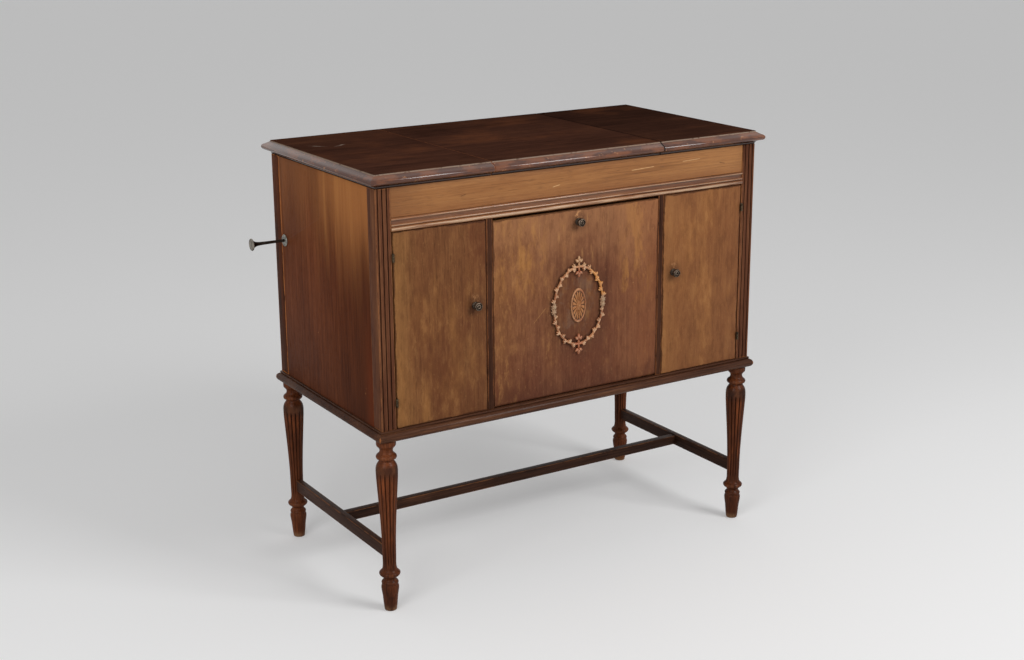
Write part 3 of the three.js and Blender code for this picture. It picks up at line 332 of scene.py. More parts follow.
def rounded(points, steps):
    """The same profile with each corner point passed by a smooth curve."""
    made = [points[0]]
    for a, b, c, d in zip([points[0]] + points[:-2], points[:-1], points[1:], points[2:] + [points[-1]]):
        for k in range(1, steps + 1):
            t = k / steps
            made.append(tuple(
                0.5 * (
                    2 * q + (r - p) * t + (2 * p - 5 * q + 4 * r - s) * t * t + (3 * q - p - 3 * r + s) * t ** 3
                )
                for p, q, r, s in zip(a, b, c, d)
            ))
    return made


def choose(piece, test):
    """Selects the vertices that pass a test on their place, and enters edit mode."""
    only(piece)
    bpy.ops.object.mode_set(mode="EDIT")
    bpy.ops.mesh.select_all(action="DESELECT")
    bpy.ops.mesh.select_mode(type="VERT")
    bpy.ops.object.mode_set(mode="OBJECT")
    for vertex in piece.data.vertices:
        vertex.select = test(vertex.co)
    bpy.ops.object.mode_set(mode="EDIT")


reeds = 14
columns = 8
leg_foot = [
    (0.0100, 0.0001), (0.0112, 0.0006), (0.0122, 0.0024), (0.0137, 0.0150), (0.0150, 0.0300),
    (0.0165, 0.0400), (0.0174, 0.0470), (0.0170, 0.0515), (0.0158, 0.0545), (0.0157, 0.0556),
    (0.0166, 0.0575), (0.0167, 0.0590), (0.0157, 0.0612), (0.0141, 0.0628), (0.0126, 0.0655),
    (0.0131, 0.0685), (0.0152, 0.0705), (0.0188, 0.0735), (0.0205, 0.0762), (0.0207, 0.0785),
    (0.0196, 0.0805), (0.0160, 0.0840), (0.0143, 0.0875), (0.0133, 0.0950),
]
leg_shaft = [
    (0.0133, 0.1040), (0.0135, 0.1130), (0.0137, 0.1300), (0.0140, 0.1500), (0.0150, 0.1750),
    (0.0164, 0.2020), (0.0179, 0.2250), (0.0192, 0.2450), (0.0202, 0.2600), (0.0208, 0.2700),
    (0.0212, 0.2760), (0.0214, 0.2820), (0.0215, 0.2870), (0.0213, 0.2930),
]
leg_head = [
    (0.0205, 0.2985), (0.0188, 0.3032), (0.0165, 0.3068), (0.0148, 0.3092), (0.0142, 0.3110),
    (0.0143, 0.3124), (0.0165, 0.3134), (0.0190, 0.3150), (0.0200, 0.3172), (0.0201, 0.3190),
    (0.0192, 0.3212), (0.0172, 0.3232), (0.0146, 0.3255), (0.0130, 0.3288), (0.0129, 0.3318),
    (0.0136, 0.3345), (0.0155, 0.3372), (0.0178, 0.3396), (0.0189, 0.3418), (0.0191, 0.3450),
    (0.0191, 0.3505),
]
groove_depths = {0: 0.16, 1: 0.055, 7: 0.055, 2: 0.012, 6: 0.012}


def fade(z):
    """How deep the grooves run at a height: full along the shaft, rising out at both ends."""
    low = min(max((z - 0.094) / 0.014, 0.0), 1.0)
    high = min(max((0.2895 - z) / 0.012, 0.0), 1.0)
    return math.sqrt(low) * math.sqrt(high)


leg = turn("leg_pattern", rounded(leg_foot + leg_shaft + leg_head, 2), reeds * columns)
levels = sorted({round(v.co.z, 6) for v in leg.data.vertices if 0.0945 < v.co.z < 0.289})
for level in levels:
    for column, depth in groove_depths.items():
        choose(leg, lambda co: abs(co.z - level) < 2e-6 and round(
            math.atan2(co.y, co.x) / (2 * math.pi) * reeds * columns) % columns == column)
        taken = 1 - depth * fade(level)
        bpy.ops.transform.resize(value=(taken, taken, 1), center_override=(0, 0, level))
only(leg)
smooth_under(38)

for end in ("front", "rear"):
    for side in ("left", "right"):
        node = f"{end}_leg_{side}"
        low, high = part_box(node)
        centre = (low + high) / 2
        piece = twin(leg.data, node + "_turned")
        piece.location = (centre.x, centre.y, 0)
        settle()
        stand_in(piece, node)
        dark, middle, light = tone(34, 16, 9), tone(78, 40, 22), tone(118, 64, 36)
        finish = wood(f"{node}_varnish", "z", dark, middle, light, centre.x * 9, 0.42, 0.02, 1.2)
        finish.shader.inputs["Coat Weight"].default_value = 0.13
        from_axis = ((finish.x - centre.x) ** 2.0 + (finish.y - centre.y) ** 2.0) ** 0.5
        # the reeds stand out of the taper of the shaft: radius 13.6 mm at 110 mm up, 21.4 mm at 285 mm up
        taper = (finish.z - 0.15).most(0.0) * 0.056 + 0.0137
        on_shaft = finish.z.rise(0.094, 0.106) * finish.z.fall(0.280, 0.290)
        groove = (taper - from_axis - 0.0004).rise(0.0, 0.0016) * on_shaft
        wear = finish.noise((60, 60, 18), 4.0, 0.6, centre.y * 7)
        reed = (from_axis - taper + 0.0006).rise(0.0, 0.0009) * on_shaft * wear.rise(0.46, 0.66)
        finish.paint(reed * 0.5, tone(150, 80, 42))
        finish.paint(groove * 0.65, tone(32, 15, 10))
        # Painted sheen: a dark greyish reflection is painted on the plain shoulder of each leg.
        shoulder_sheen = finish.z.rise(0.268, 0.292) * finish.z.fall(0.298, 0.306)
        finish.paint(shoulder_sheen * 0.7, tone(40, 27, 23))
        rings = (from_axis - 0.0186).rise(0.0, 0.0018) * (1.0 - on_shaft) * wear.rise(0.40, 0.62)
        finish.paint(rings * 0.35, tone(132, 80, 50))
        finish.paint(finish.z.fall(0.0, 0.016) * wear.rise(0.3, 0.6) * 0.7, tone(150, 116, 84))
        coat_with(piece, finish.close())
bpy.data.objects.remove(leg)


# ---------------------------------------------------------------- stretchers
# Plain square-edged bars, one tenoned between the legs on each side and a long one between the two. Shoes
# have rubbed them grey on top and orange along the edges.

for node, along in (("side_stretcher_left", "y"), ("side_stretcher_right", "y"), ("long_stretcher", "x")):
    finish = wood(f"{node}_varnish", along, tone(32, 20, 15), tone(60, 38, 28), tone(92, 60, 44), 4.0, 0.46)
    rub_arrises(finish, node, tone(150, 98, 62), 0.0013, 0.5, 5.0)
    finish.paint(finish.noise((9, 9, 30), 5.0, 0.7, 2.0).rise(0.55, 0.72) * 0.25, tone(104, 78, 60))
    coat_with(eased(node, 0.0009), finish.close())


# ---------------------------------------------------------------- corner posts
# Solid posts the full height of the case. Each front one has three grooves planed down its face, which
# leave rounded reeds between them.

for side in ("left", "right"):
    node = f"front_post_{side}"
    low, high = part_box(node)
    dark, middle, light = tone(48, 27, 19), tone(94, 57, 40), tone(132, 88, 60)
    finish = wood(f"{node}_varnish", "z", dark, middle, light, low.x * 5, 0.42, 0.02)
    outer = (finish.x - low.x) if side == "left" else (high.x - finish.x)
    depth = finish.y - low.y
    groove = depth.rise(0.0003, 0.0016) * depth.fall(0.0030, 0.0034)
    inside = outer.rise(0.001, 0.002) * outer.fall(0.0290, 0.0300)
    finish.paint(groove * inside * 0.9, tone(26, 14, 11))
    rub_arrises(finish, node, tone(164, 108, 68), 0.0018, 0.5, low.x)
    coat_with(eased(node, 0.0010, 40, 3), finish.close())

    node = f"rear_post_{side}"
    dark, middle, light = tone(46, 24, 15), tone(90, 48, 29), tone(122, 70, 42)
    finish = wood(f"{node}_varnish", "z", dark, middle, light, low.x * 3, 0.42, 0.02)
    rub_arrises(finish, node, bare_orange, 0.0022, 0.7, low.x)
    coat_with(eased(node, 0.0008), finish.close())


# ---------------------------------------------------------------- side panels
# Veneered panels between the posts, grain upright. Light has bleached the varnish to orange near the top,
# towards the front. The joint to the rear post has opened, and bare wood shows in it.

for side in ("left", "right"):
    node = f"side_panel_{side}"
    low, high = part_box(node)
    dark, middle, light = tone(58, 29, 18), tone(98, 52, 31), tone(128, 72, 44)
    finish = wood(f"{node}_varnish", "z", dark, middle, light, low.x, 0.42, 0.012)
    streak = finish.noise((26, 26, 1.6), 4.0, 0.62, 5.0)
    broad = finish.noise((7, 7, 2.0), 2.0, 0.5, 8.0)
    height = (finish.z - low.z) / (high.z - low.z)
    depth = (high.y - finish.y) / (high.y - low.y)
    up = (height + (streak - 0.5) * 0.45 + (broad - 0.5) * 0.5).rise(0.46, 1.02)
    forward = (depth + (streak - 0.5) * 0.25 + (broad - 0.5) * 0.4).rise(0.20, 0.72)
    finish.paint(up * (forward * 0.60 + 0.40), tone(170, 110, 64))
    finish.paint(up * forward * streak.rise(0.46, 0.72) * 0.45, tone(196, 138, 78))
    shaded = depth.rise(0.66, 0.92) * (height + (streak - 0.5) * 0.3).fall(0.60, 0.86)
    finish.paint(shaded * 0.55, tone(88, 48, 31))
    dark_streak = (depth + (streak - 0.5) * 0.1 - 0.34).rise(0.0, 0.06) * (depth - 0.44).fall(0.0, 0.06)
    finish.paint(dark_streak * up * 0.25, tone(74, 44, 30))
    finish.paint(height.fall(0.0, 0.45) * 0.30, tone(60, 34, 24))
    finish.paint(depth.rise(0.90, 1.0) * height.fall(0.15, 0.55) * 0.5, tone(118, 54, 28))
    chips = finish.noise((120, 120, 60), 3.0, 0.7, 9.0).rise(0.74, 0.77)
    finish.paint(chips * 0.6, tone(190, 128, 78))
    gap = (high.y - finish.y + (finish.noise((9, 9, 16), 3.0, 0.6, 4.0) - 0.6) * 0.006).fall(0.0002, 0.0016)
    finish.paint(gap * 0.85, tone(200, 120, 64))
    coat_with(eased(node, 0.0005), finish.close())

dark, middle, light = tone(78, 52, 36), tone(104, 74, 52), tone(126, 92, 66)
finish = wood("back_panel_stain", "x", dark, middle, light, 8.0, 0.62, 0.03, 0.4)
rub_arrises(finish, "back_panel", tone(150, 116, 84), 0.002, 0.5, 3.0)
coat_with(eased("back_panel", 0.0006), finish.close())


# ---------------------------------------------------------------- partitions
# Upright boards that divide the case into three bays. Their front edges show between the doors.

for side in ("left", "right"):
    node = f"partition_{side}"
    dark, middle, light = tone(40, 24, 18), tone(70, 44, 32), tone(98, 64, 44)
    finish = wood(f"{node}_varnish", "z", dark, middle, light, 3.0, 0.42, 0.02)
    rub_arrises(finish, node, tone(150, 92, 56), 0.0020, 0.5, 8.0)
    coat_with(eased(node, 0.0008), finish.close())


# ---------------------------------------------------------------- frieze and moulded rail
# A lighter board right across the front, and under it a planed moulding: two fine beads, a hollow and a
# rounded member. Shade is painted into the hollow and a broken pale highlight along the beads, and a few
# scratches have cut through to pale wood.

dark, middle, light = tone(118, 74, 43), tone(158, 106, 62), tone(182, 130, 80)
finish = wood("frieze_varnish", "x", dark, middle, light, 6.0, 0.4, 0.2, 0.5)
low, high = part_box("frieze_board")
finish.paint((finish.x - low.x).fall(0.0, 0.10) * 0.4, tone(104, 62, 38))
finish.paint((high.x - finish.x).fall(0.0, 0.03) * 0.3, tone(120, 74, 44))
finish.paint((finish.x - low.x).rise(0.5, 0.8) * 0.3, tone(186, 132, 80))
cloud = finish.noise((5, 9, 22), 4.0, 0.6, 2.0)
finish.paint(cloud.fall(0.34, 0.52) * 0.35, tone(132, 82, 46))
finish.paint(finish.z.fall(0.784, 0.802) * 0.30, tone(140, 86, 50))


front_face_y = -0.220
front_face_edge = 0.002


def on_front(finish):
    """1 on the outside faces of the front, 0 behind them."""
    return finish.y.fall(front_face_y - front_face_edge, front_face_y + front_face_edge)


def scratch(finish, start, end, colour, width=0.0009, share=0.8):
    """A thin stroke on a front face, from one (x, z) to another."""
    ax, az = start
    bx, bz = end
    length = math.hypot(bx - ax, bz - az)
    ux, uz = (bx - ax) / length, (bz - az) / length
    along = (finish.x - ax) * ux + (finish.z - az) * uz
    aside = abs((finish.z - az) * ux - (finish.x - ax) * uz)
    ragged = finish.noise((160, 160, 160), 3.0, 0.7, 31.0)
    mark = (aside / (ragged * 2.0 * width)).fall(0.6, 1.0) * along.rise(-0.0005, 0.002)
    mark = mark * on_front(finish)
    mark = mark * along.fall(length - 0.003, length + 0.0005)
    finish.paint(mark * share, colour)


pale = tone(222, 178, 128)
scratch(finish, (0.158, 0.8123), (0.214, 0.8145), pale, 0.0007)
scratch(finish, (0.285, 0.8175), (0.330, 0.8190), pale, 0.0006)
scratch(finish, (-0.030, 0.7990), (-0.012, 0.8020), pale, 0.0007)
scratch(finish, (-0.235, 0.8040), (-0.222, 0.8070), tone(86, 50, 30), 0.0008)
scratch(finish, (0.380, 0.8060), (0.396, 0.8030), tone(90, 54, 32), 0.0009)
coat_with(eased("frieze_board", 0.0005), finish.close())

finish = wood("rail_varnish", "x", tone(76, 44, 28), tone(132, 82, 50), tone(168, 114, 72), 7.0, 0.32, 0.3)
finish.shader.inputs["Coat Weight"].default_value = 0.35
low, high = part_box("front_rail")
# Painted shade: the hollow of the moulding, set back behind the beads, is darkened.
hollow = (finish.y - low.y).rise(0.0030, 0.0052)
finish.paint(hollow * 0.6, tone(46, 26, 18))
# Painted highlight: a broken pale line along the foremost part of the beads.
bead = (low.y + 0.0017 - finish.y).rise(0.0, 0.0014)
highlight_patches = finish.noise((10, 60, 200), 4.0, 0.6, 5.0).rise(0.34, 0.58)
finish.paint(bead * highlight_patches * 0.75, tone(206, 172, 138))
coat_with(eased("front_rail", 0.0002, 50), finish.close())


# ---------------------------------------------------------------- top and lid
# Three boards with one moulding worked all round. The two outer ones are glued to the case and the middle
# one is the lid. The finish is dark and cloudy on top, and glossy with worn spots on the nosing.

def smear(finish, start, end, colour):
    """A faint pale scuff on the top, from one (x, y) to another."""
    along_x, along_y = end[0] - start[0], end[1] - start[1]
    length = math.hypot(along_x, along_y)
    along_x, along_y = along_x / length, along_y / length
    along = (finish.x - start[0]) * along_x + (finish.y - start[1]) * along_y
    aside = abs((finish.y - start[1]) * along_x - (finish.x - start[0]) * along_y)
    ragged = finish.noise((70, 70, 70), 4.0, 0.7, 12.0)
    mark = aside.fall(0.0005, 0.0050) * along.rise(0.0, 0.010) * along.fall(length - 0.012, length)
    finish.paint(mark * ragged.rise(0.42, 0.62) * 0.55, colour)


for node in ("top_left", "lid", "top_right"):
    low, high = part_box(node)
    shade = {"top_left": 0.0, "lid": 1.5, "top_right": 3.1}[node]
    deep = {"top_left": 1.0, "lid": 0.98, "top_right": 0.82}[node]
    dark, middle, light = [
        tone(*(level * deep for level in levels)) for levels in ((50, 30, 23), (70, 43, 33), (96, 60, 43))
    ]
    finish = wood(f"{node}_varnish", "x", dark, middle, light, shade, 0.42, 0.0, 0.8)
    cloud = finish.noise((5, 7, 9), 4.0, 0.62, shade + 2.0)
    finish.paint(cloud.rise(0.50, 0.75) * 0.45, tone(112, 66, 42))
    finish.paint(cloud.fall(0.30, 0.48) * 0.45, tone(44, 26, 20))
    nosing = finish.z.rise(0.8370, 0.8390) * finish.z.fall(0.8600, 0.8622)
    worn = finish.noise((18, 18, 90), 4.0, 0.62, shade)
    finish.paint(nosing * 0.75, tone(86, 47, 30))
    finish.paint(nosing * worn.rise(0.44, 0.60) * 0.55, tone(142, 84, 50))
    spots = finish.noise((90, 90, 90), 3.0, 0.6, shade + 5.0)
    finish.paint(nosing * spots.rise(0.64, 0.70) * 0.6, tone(186, 128, 82))
    # Painted shade: the lower half of the nosing and the cove under it are darkened.
    finish.paint(finish.z.fall(0.8415, 0.8450) * 0.8, tone(30, 18, 14))
    # Painted highlight: a pale grey line along the top arris, broken in patches.
    arris_highlight = finish.z.rise(0.8606, 0.8614) * finish.z.fall(0.8628, 0.8634)
    finish.paint(arris_highlight * spots.rise(0.26, 0.46) * 0.7, tone(164, 142, 124))
    if node == "top_left":
        finish.paint((high.x - finish.x).fall(0.0004, 0.0016) * 0.8, tone(184, 108, 64))
        for start, end in (((-0.386, 0.124), (-0.352, 0.088)), ((-0.344, 0.078), (-0.308, 0.102))):
            smear(finish, start, end, tone(176, 158, 144))
    if node == "top_right":
        finish.paint((finish.x - low.x).fall(0.0010, 0.0018) * 0.9, tone(26, 15, 12))
    ends = (finish.x - low.x).rise(0.0, 0.0010) * (high.x - finish.x).rise(0.0, 0.0010)
    gloss = nosing * ends if node == "lid" else nosing
    finish.tree.links.new(gloss.socket, finish.shader.inputs["Coat Weight"])
    under = finish.z.fall(0.8362, 0.8368)
    grain = finish.noise((5, 90, 40), 5.0, 0.65, shade + 8.0)
    finish.paint(under * 0.85, tone(96, 62, 41))
    finish.paint(under * grain.rise(0.38, 0.60) * 0.55, tone(70, 42, 28))
    finish.paint(under * cloud.rise(0.46, 0.68) * 0.40, tone(122, 80, 52))
    finish.shader.inputs["Coat Roughness"].default_value = 0.15
    coat_with(eased(node, 0.0006, 30), finish.close())


# ---------------------------------------------------------------- side doors
# Flat veneered doors, grain upright. The varnish has faded in mottled gold patches, has pale chips, and is
# darker in patches along its edges. A shadow is painted round each knob, and the right door is painted
# lighter all over as painted light.

def knob_shadow_and_scuff(finish, knob_box, bare):
    """Painted shadow of the knob on the wood around it, and bare wood scuffed just above it."""
    knob_low, knob_high = knob_box
    knob = (knob_low + knob_high) / 2
    radius = (knob_high.x - knob_low.x) / 2
    out = ((finish.x - knob.x) ** 2.0 + (finish.z - knob.z) ** 2.0) ** 0.5 / radius
    front = on_front(finish)
    # Painted shadow: a soft dark ring round the knob on the front face.
    finish.paint(out.fall(0.9, 3.4) * front * 0.40, tone(58, 34, 26))
    above = ((finish.x - knob.x) ** 2.0 + (finish.z - knob.z - 1.5 * radius) ** 2.0) ** 0.5 / radius
    rubbed = finish.noise((190, 190, 190), 4.0, 0.7, 17.0)
    finish.paint(above.fall(0.4, 1.6) * rubbed.rise(0.46, 0.62) * front * bare, tone(214, 156, 106))
    finish.paint((1.0 - front) * 0.45, tone(108, 72, 46))


for side in ("left", "right"):
    node = f"door_{side}"
    low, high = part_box(node)
    finish = wood(
        f"{node}_varnish", "z", tone(88, 53, 33), tone(116, 74, 45), tone(138, 92, 56), low.x * 2, blotch=0.6
    )
    across = (finish.x - low.x) / (high.x - low.x)
    streak = finish.noise((30, 30, 4.0), 4.0, 0.62, low.x)
    patch = (finish.noise((10, 10, 4.0), 4.0, 0.6, low.x) + (streak - 0.5) * 0.35).rise(0.46, 0.66)
    finish.paint(patch * 0.55, tone(160, 110, 62))
    dark = (finish.noise((8, 8, 3.2), 4.0, 0.6, low.x + 5) + (across - 0.5) * 0.20).rise(0.46, 0.66)
    finish.paint(dark * 0.52, tone(96, 52, 33))
    gold = (across + (streak - 0.5) * 0.3 + (patch - 0.5) * 0.1).rise(0.0, 0.22)
    finish.paint((1.0 - gold) * 0.35, tone(162, 116, 68))
    # Painted light: the right door is painted lighter all over, for the light that falls more on it.
    if side == "right":
        finish.paint(0.35, tone(156, 102, 64))
    speckle = finish.noise((260, 260, 130), 3.0, 0.65, low.x + 13).rise(0.58, 0.70)
    finish.paint(speckle * 0.14, tone(182, 134, 84))
    fleck = finish.noise((70, 70, 24), 5.0, 0.7, low.x + 33)
    finish.paint(fleck.rise(0.50, 0.64) * (patch * 0.7 + 0.3) * 0.40, tone(174, 124, 76))
    finish.paint(fleck.fall(0.36, 0.50) * 0.30, tone(88, 52, 32))
    chips = finish.noise((120, 120, 90), 3.0, 0.7, low.x + 9).rise(0.755, 0.775)
    finish.paint(chips * 0.8, tone(204, 168, 122))
    rub_arrises(finish, node, tone(64, 36, 25), 0.0026, 0.7, low.x)
    # Painted shadow round the knob, and a bare scuff above it.
    knob_shadow_and_scuff(finish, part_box(f"knob_{side}"), 0.3)
    coat_with(eased(node, 0.0008), finish.close())


# ---------------------------------------------------------------- fall front
# The centre panel, in a redder veneer than the doors. It turns down on a steel rod along its foot. Gold
# fading runs down its left edge, and the wood is scuffed to orange above the knob.

low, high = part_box("fall_front")
dark, middle, light = tone(88, 52, 37), tone(116, 73, 51), tone(140, 93, 64)
finish = wood("fall_front_varnish", "z", dark, middle, light, 5.0, blotch=0.6)
across = (finish.x - low.x) / (high.x - low.x)
height = (finish.z - low.z) / (high.z - low.z)
streak = finish.noise((30, 30, 3.4), 4.0, 0.62, 6.0)
left_gold = (across + (streak - 0.5) * 0.30).fall(0.0, 0.22)
finish.paint(left_gold * 0.30, tone(152, 102, 56))
patch = (finish.noise((9, 9, 4.0), 4.0, 0.6, 12.0) + (streak - 0.5) * 0.3).rise(0.46, 0.68)
finish.paint(patch * (height * 0.30 + 0.20), tone(154, 102, 62))
mottle = finish.noise((34, 34, 12), 5.0, 0.68, 41.0)
faded = abs(across - 0.17).fall(0.05, 0.20) * height.rise(0.52, 0.74)
faded = (faded + abs(across - 0.86).fall(0.03, 0.13) * height.rise(0.36, 0.60)).least(1.0)
finish.paint(faded * mottle.rise(0.46, 0.60) * 0.60, tone(176, 122, 62))
finish.paint((1.0 - faded) * mottle.fall(0.34, 0.52) * 0.30, tone(96, 52, 36))
cloud = finish.noise((11, 11, 7), 4.0, 0.62, 27.0)
finish.paint((height + (cloud - 0.5) * 0.8).rise(0.60, 1.0) * 0.5, tone(168, 118, 80))
reddened = cloud.fall(0.38, 0.54) * (1.1 - height)
finish.paint(reddened * 0.5, tone(94, 50, 36))
finish.paint((across + (streak - 0.5) * 0.3).rise(0.66, 0.95) * 0.30, tone(150, 92, 56))
finish.paint((height + (streak - 0.5) * 0.3).fall(0.0, 0.16) * 0.45, tone(74, 42, 32))
smudge_x, smudge_z = 0.0293, 0.555
smudge_wide, smudge_high = 0.075, 0.105
out = (((finish.x - smudge_x) / smudge_wide) ** 2.0 + ((finish.z - smudge_z) / smudge_high) ** 2.0) ** 0.5
haze = finish.noise((34, 34, 26), 4.0, 0.65, 3.0)
front = on_front(finish)
finish.paint((out + (haze - 0.5) * 0.7).fall(0.75, 1.25) * front * 0.26, tone(70, 45, 35))
finish.paint(out.fall(0.55, 1.0) * haze.rise(0.50, 0.62) * front * 0.30, tone(122, 100, 84))
wreath_x, wreath_z = 0.0278, 0.555
half_wide, half_high = 0.0583, 0.0792
oval = (((finish.x - wreath_x) / half_wide) ** 2.0 + ((finish.z - wreath_z) / half_high) ** 2.0) ** 0.5
# Painted shadow of the garland: a dark band on the panel along the oval.
finish.paint(abs(oval - 1.0).fall(0.03, 0.13) * front * 0.5, tone(42, 26, 21))
speckle = finish.noise((260, 260, 130), 3.0, 0.65, 19.0).rise(0.58, 0.70)
finish.paint(speckle * 0.16, tone(176, 126, 84))
fleck = finish.noise((70, 70, 24), 5.0, 0.7, 33.0)
finish.paint(fleck.rise(0.50, 0.64) * (patch + left_gold).least(1.0) * 0.40, tone(174, 124, 74))
finish.paint(fleck.fall(0.36, 0.50) * 0.30, tone(82, 45, 31))
drip = finish.noise((120, 120, 14), 3.0, 0.6, 22.0).rise(0.62, 0.72)
finish.paint(drip * height.rise(0.66, 0.80) * height.fall(0.93, 1.0) * 0.4, tone(190, 140, 86))
chips = finish.noise((120, 120, 90), 3.0, 0.7, 14.0).rise(0.755, 0.775)
finish.paint(chips * 0.8, tone(204, 158, 108))
scratch(finish, (-0.075, 0.533), (-0.046, 0.560), tone(176, 128, 78), 0.0006, 0.6)
scratch(finish, (0.062, 0.478), (0.078, 0.506), tone(186, 146, 100), 0.0006, 0.6)
rub_arrises(finish, "fall_front", tone(60, 34, 25), 0.0024, 0.6, 4.0)
# Painted shadow round the knob, and a bare scuff above it.
knob_shadow_and_scuff(finish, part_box("knob_centre"), 0.7)
coat_with(eased("fall_front", 0.0007, 40), finish.close())


# ---------------------------------------------------------------- door hinges
# Small brass butt hinges, gone nearly black. One leaf is let into the post and carries the pin, the other
# is let into the edge of the door.

def metal(name, deep, bright, roughness, cells, shift):
    """Old metal: a cloudy bright ground, darker where it has tarnished, with fine scratches."""
    finish = Finish(name, roughness, 1.0)
    cloud = finish.noise((cells,) * 3, 4.0, 0.65, shift)
    finish.colour = finish.mix(cloud.rise(0.3, 0.65), deep, bright)
    scratches = finish.noise((900, 900, 120), 2.0, 0.5, shift + 4.0)
    finish.roughness = roughness + cloud * 0.25 - 0.12 + scratches * 0.08
    finish.height = scratches * 0.3 + cloud * 0.4
    finish.cloud = cloud
    return finish


hinge_brass = metal("hinge_brass", tone(38, 31, 25), tone(92, 78, 60), 0.48, 220.0, 2.0).close(0.0001)
for level in ("upper", "lower"):
    for leaf in ("fixed", "moving"):
        for side in ("left", "right"):
            coat_with(eased(f"{level}_hinge_{leaf}_leaf_{side}", 0.0002, 40), hinge_brass)


# ---------------------------------------------------------------- knobs
# Turned bronze pulls, each with a small flange, a neck and a ringed face around a dark centre. They are
# screwed through from behind.

knob_profile = [
    (0.0071, 0.0003), (0.0074, 0.0006), (0.0074, 0.0017), (0.0067, 0.0023), (0.0048, 0.0033),
    (0.0042, 0.0047), (0.0042, 0.0062), (0.0051, 0.0077), (0.0071, 0.0089), (0.0082, 0.0103),
    (0.0085, 0.0119), (0.0083, 0.0136), (0.0076, 0.0149), (0.0068, 0.0154), (0.0062, 0.0153),
    (0.0059, 0.0147), (0.0056, 0.0141), (0.0050, 0.0140), (0.0046, 0.0145), (0.0042, 0.0151),
    (0.0034, 0.0153), (0.0026, 0.0151), (0.0022, 0.0143), (0.0019, 0.0128),
]
knob = turn("knob_pattern", knob_profile, 48)
smooth_under(50)
for side in ("left", "right", "centre"):
    node = f"knob_{side}"
    low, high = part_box(node)
    centre = (low + high) / 2
    piece = twin(knob.data, node + "_turned")
    piece.rotation_euler = (math.pi / 2, 0, 0)
    piece.location = (centre.x, high.y + 0.0003, centre.z)
    settle()
    stand_in(piece, node)
    bronze = metal(f"{node}_bronze", tone(50, 42, 36), tone(124, 108, 94), 0.40, 260.0, centre.x)
    from_axis = ((bronze.x - centre.x) ** 2.0 + (bronze.z - centre.z) ** 2.0) ** 0.5
    on_face = (bronze.y - low.y).fall(0.0026, 0.0034)
    bronze.paint(from_axis.fall(0.0019, 0.0025) * on_face * 0.95, tone(14, 12, 11))
    ring = from_axis.rise(0.0044, 0.0049) * from_axis.fall(0.0060, 0.0064) * on_face
    bronze.paint(ring * 0.85, tone(24, 20, 18))
    # Painted shade: the flange and neck under the knob's head are darkened.
    bronze.paint((high.y - bronze.y).fall(0.0040, 0.0075) * 0.7, tone(26, 21, 18))
    coat_with(piece, bronze.close(0.00006))
bpy.data.objects.remove(knob)


# ---------------------------------------------------------------- garland
# An oval chain of husks in moulded composition, glued to the fall front. The husks open upwards along a
# thin stem, from a bud at the foot to a bud at the head, with a rosette on each side.

def placed(pattern, x, y, z, turned, size):
    """A copy of a small pattern, turned about the front-to-back axis and set on the panel."""
    copy = bpy.data.objects.new(pattern.name + "_copy", pattern.data.copy())
    bpy.context.scene.collection.objects.link(copy)
    copy.matrix_world = (
        Matrix.Translation((x, y, z)) @ Matrix.Rotation(turned, 4, "Y") @ Matrix.Scale(size, 4)
    )
    return copy


def joined(name, pieces):
    """Joins pieces into one mesh whose object sits at the origin."""
    only(pieces[0])
    for piece in pieces:
        piece.select_set(True)
    bpy.ops.object.join()
    piece = bpy.context.object
    piece.name = name
    settle()
    return piece


def petal(length, width, thick, lean, root=(0, 0, 0)):
    """A leaf that swells and comes to a point. It stands up from its root, turned by lean."""
    bpy.ops.object.select_all(action="DESELECT")
    bpy.ops.mesh.primitive_uv_sphere_add(segments=8, ring_count=7, radius=0.5, location=(0, 0, 0.5))
    leaf = bpy.context.object
    settle()
    for low, high, narrow in ((0.60, 0.90, 0.80), (0.90, 0.97, 0.45), (-0.1, 0.10, 0.5)):
        choose(leaf, lambda co: low < co.z <= high)
        bpy.ops.transform.resize(value=(narrow, narrow, 1), center_override=(0, 0, 0.5))
    bpy.ops.object.mode_set(mode="OBJECT")
    leaf.scale = (width, thick, length)
    leaf.rotation_euler = (0, lean, 0)
    leaf.location = root
    settle()
    return leaf


husk = joined("husk", [
    petal(0.0122, 0.0056, 0.0066, 0.0),
    petal(0.0066, 0.0038, 0.0050, -0.62, (-0.0012, -0.0008, 0.0044)),
    petal(0.0066, 0.0038, 0.0050, 0.62, (0.0012, -0.0008, 0.0044)),
    petal(0.0056, 0.0032, 0.0038, 0.0, (0.0, -0.0020, 0.0050)),
])
bud = joined("bud", [
    petal(0.0110, 0.0034, 0.0046, 0.0, (0, 0, -0.0010)),
    petal(0.0100, 0.0062, 0.0062, 0.0, (0, 0, 0.0088)),
    petal(0.0082, 0.0056, 0.0056, -0.85, (-0.0010, -0.0004, 0.0078)),
    petal(0.0082, 0.0056, 0.0056, 0.85, (0.0010, -0.0004, 0.0078)),
    petal(0.0056, 0.0040, 0.0046, 0.0, (0, -0.0018, 0.0098)),
])
rosette_parts = []
for ring, (count, reach, wide, rise) in enumerate(((7, 0.0082, 0.0056, 0.0), (6, 0.0058, 0.0042, -0.0016))):
    for k in range(count):
        rosette_parts.append(petal(reach, wide, 0.0040, 2 * math.pi * (k + 0.5 * ring) / count, (0, rise, 0)))
bpy.ops.object.select_all(action="DESELECT")
bpy.ops.mesh.primitive_uv_sphere_add(segments=10, ring_count=7, radius=0.0022, location=(0, -0.0026, 0))
rosette = joined("rosette", rosette_parts + [bpy.context.object])

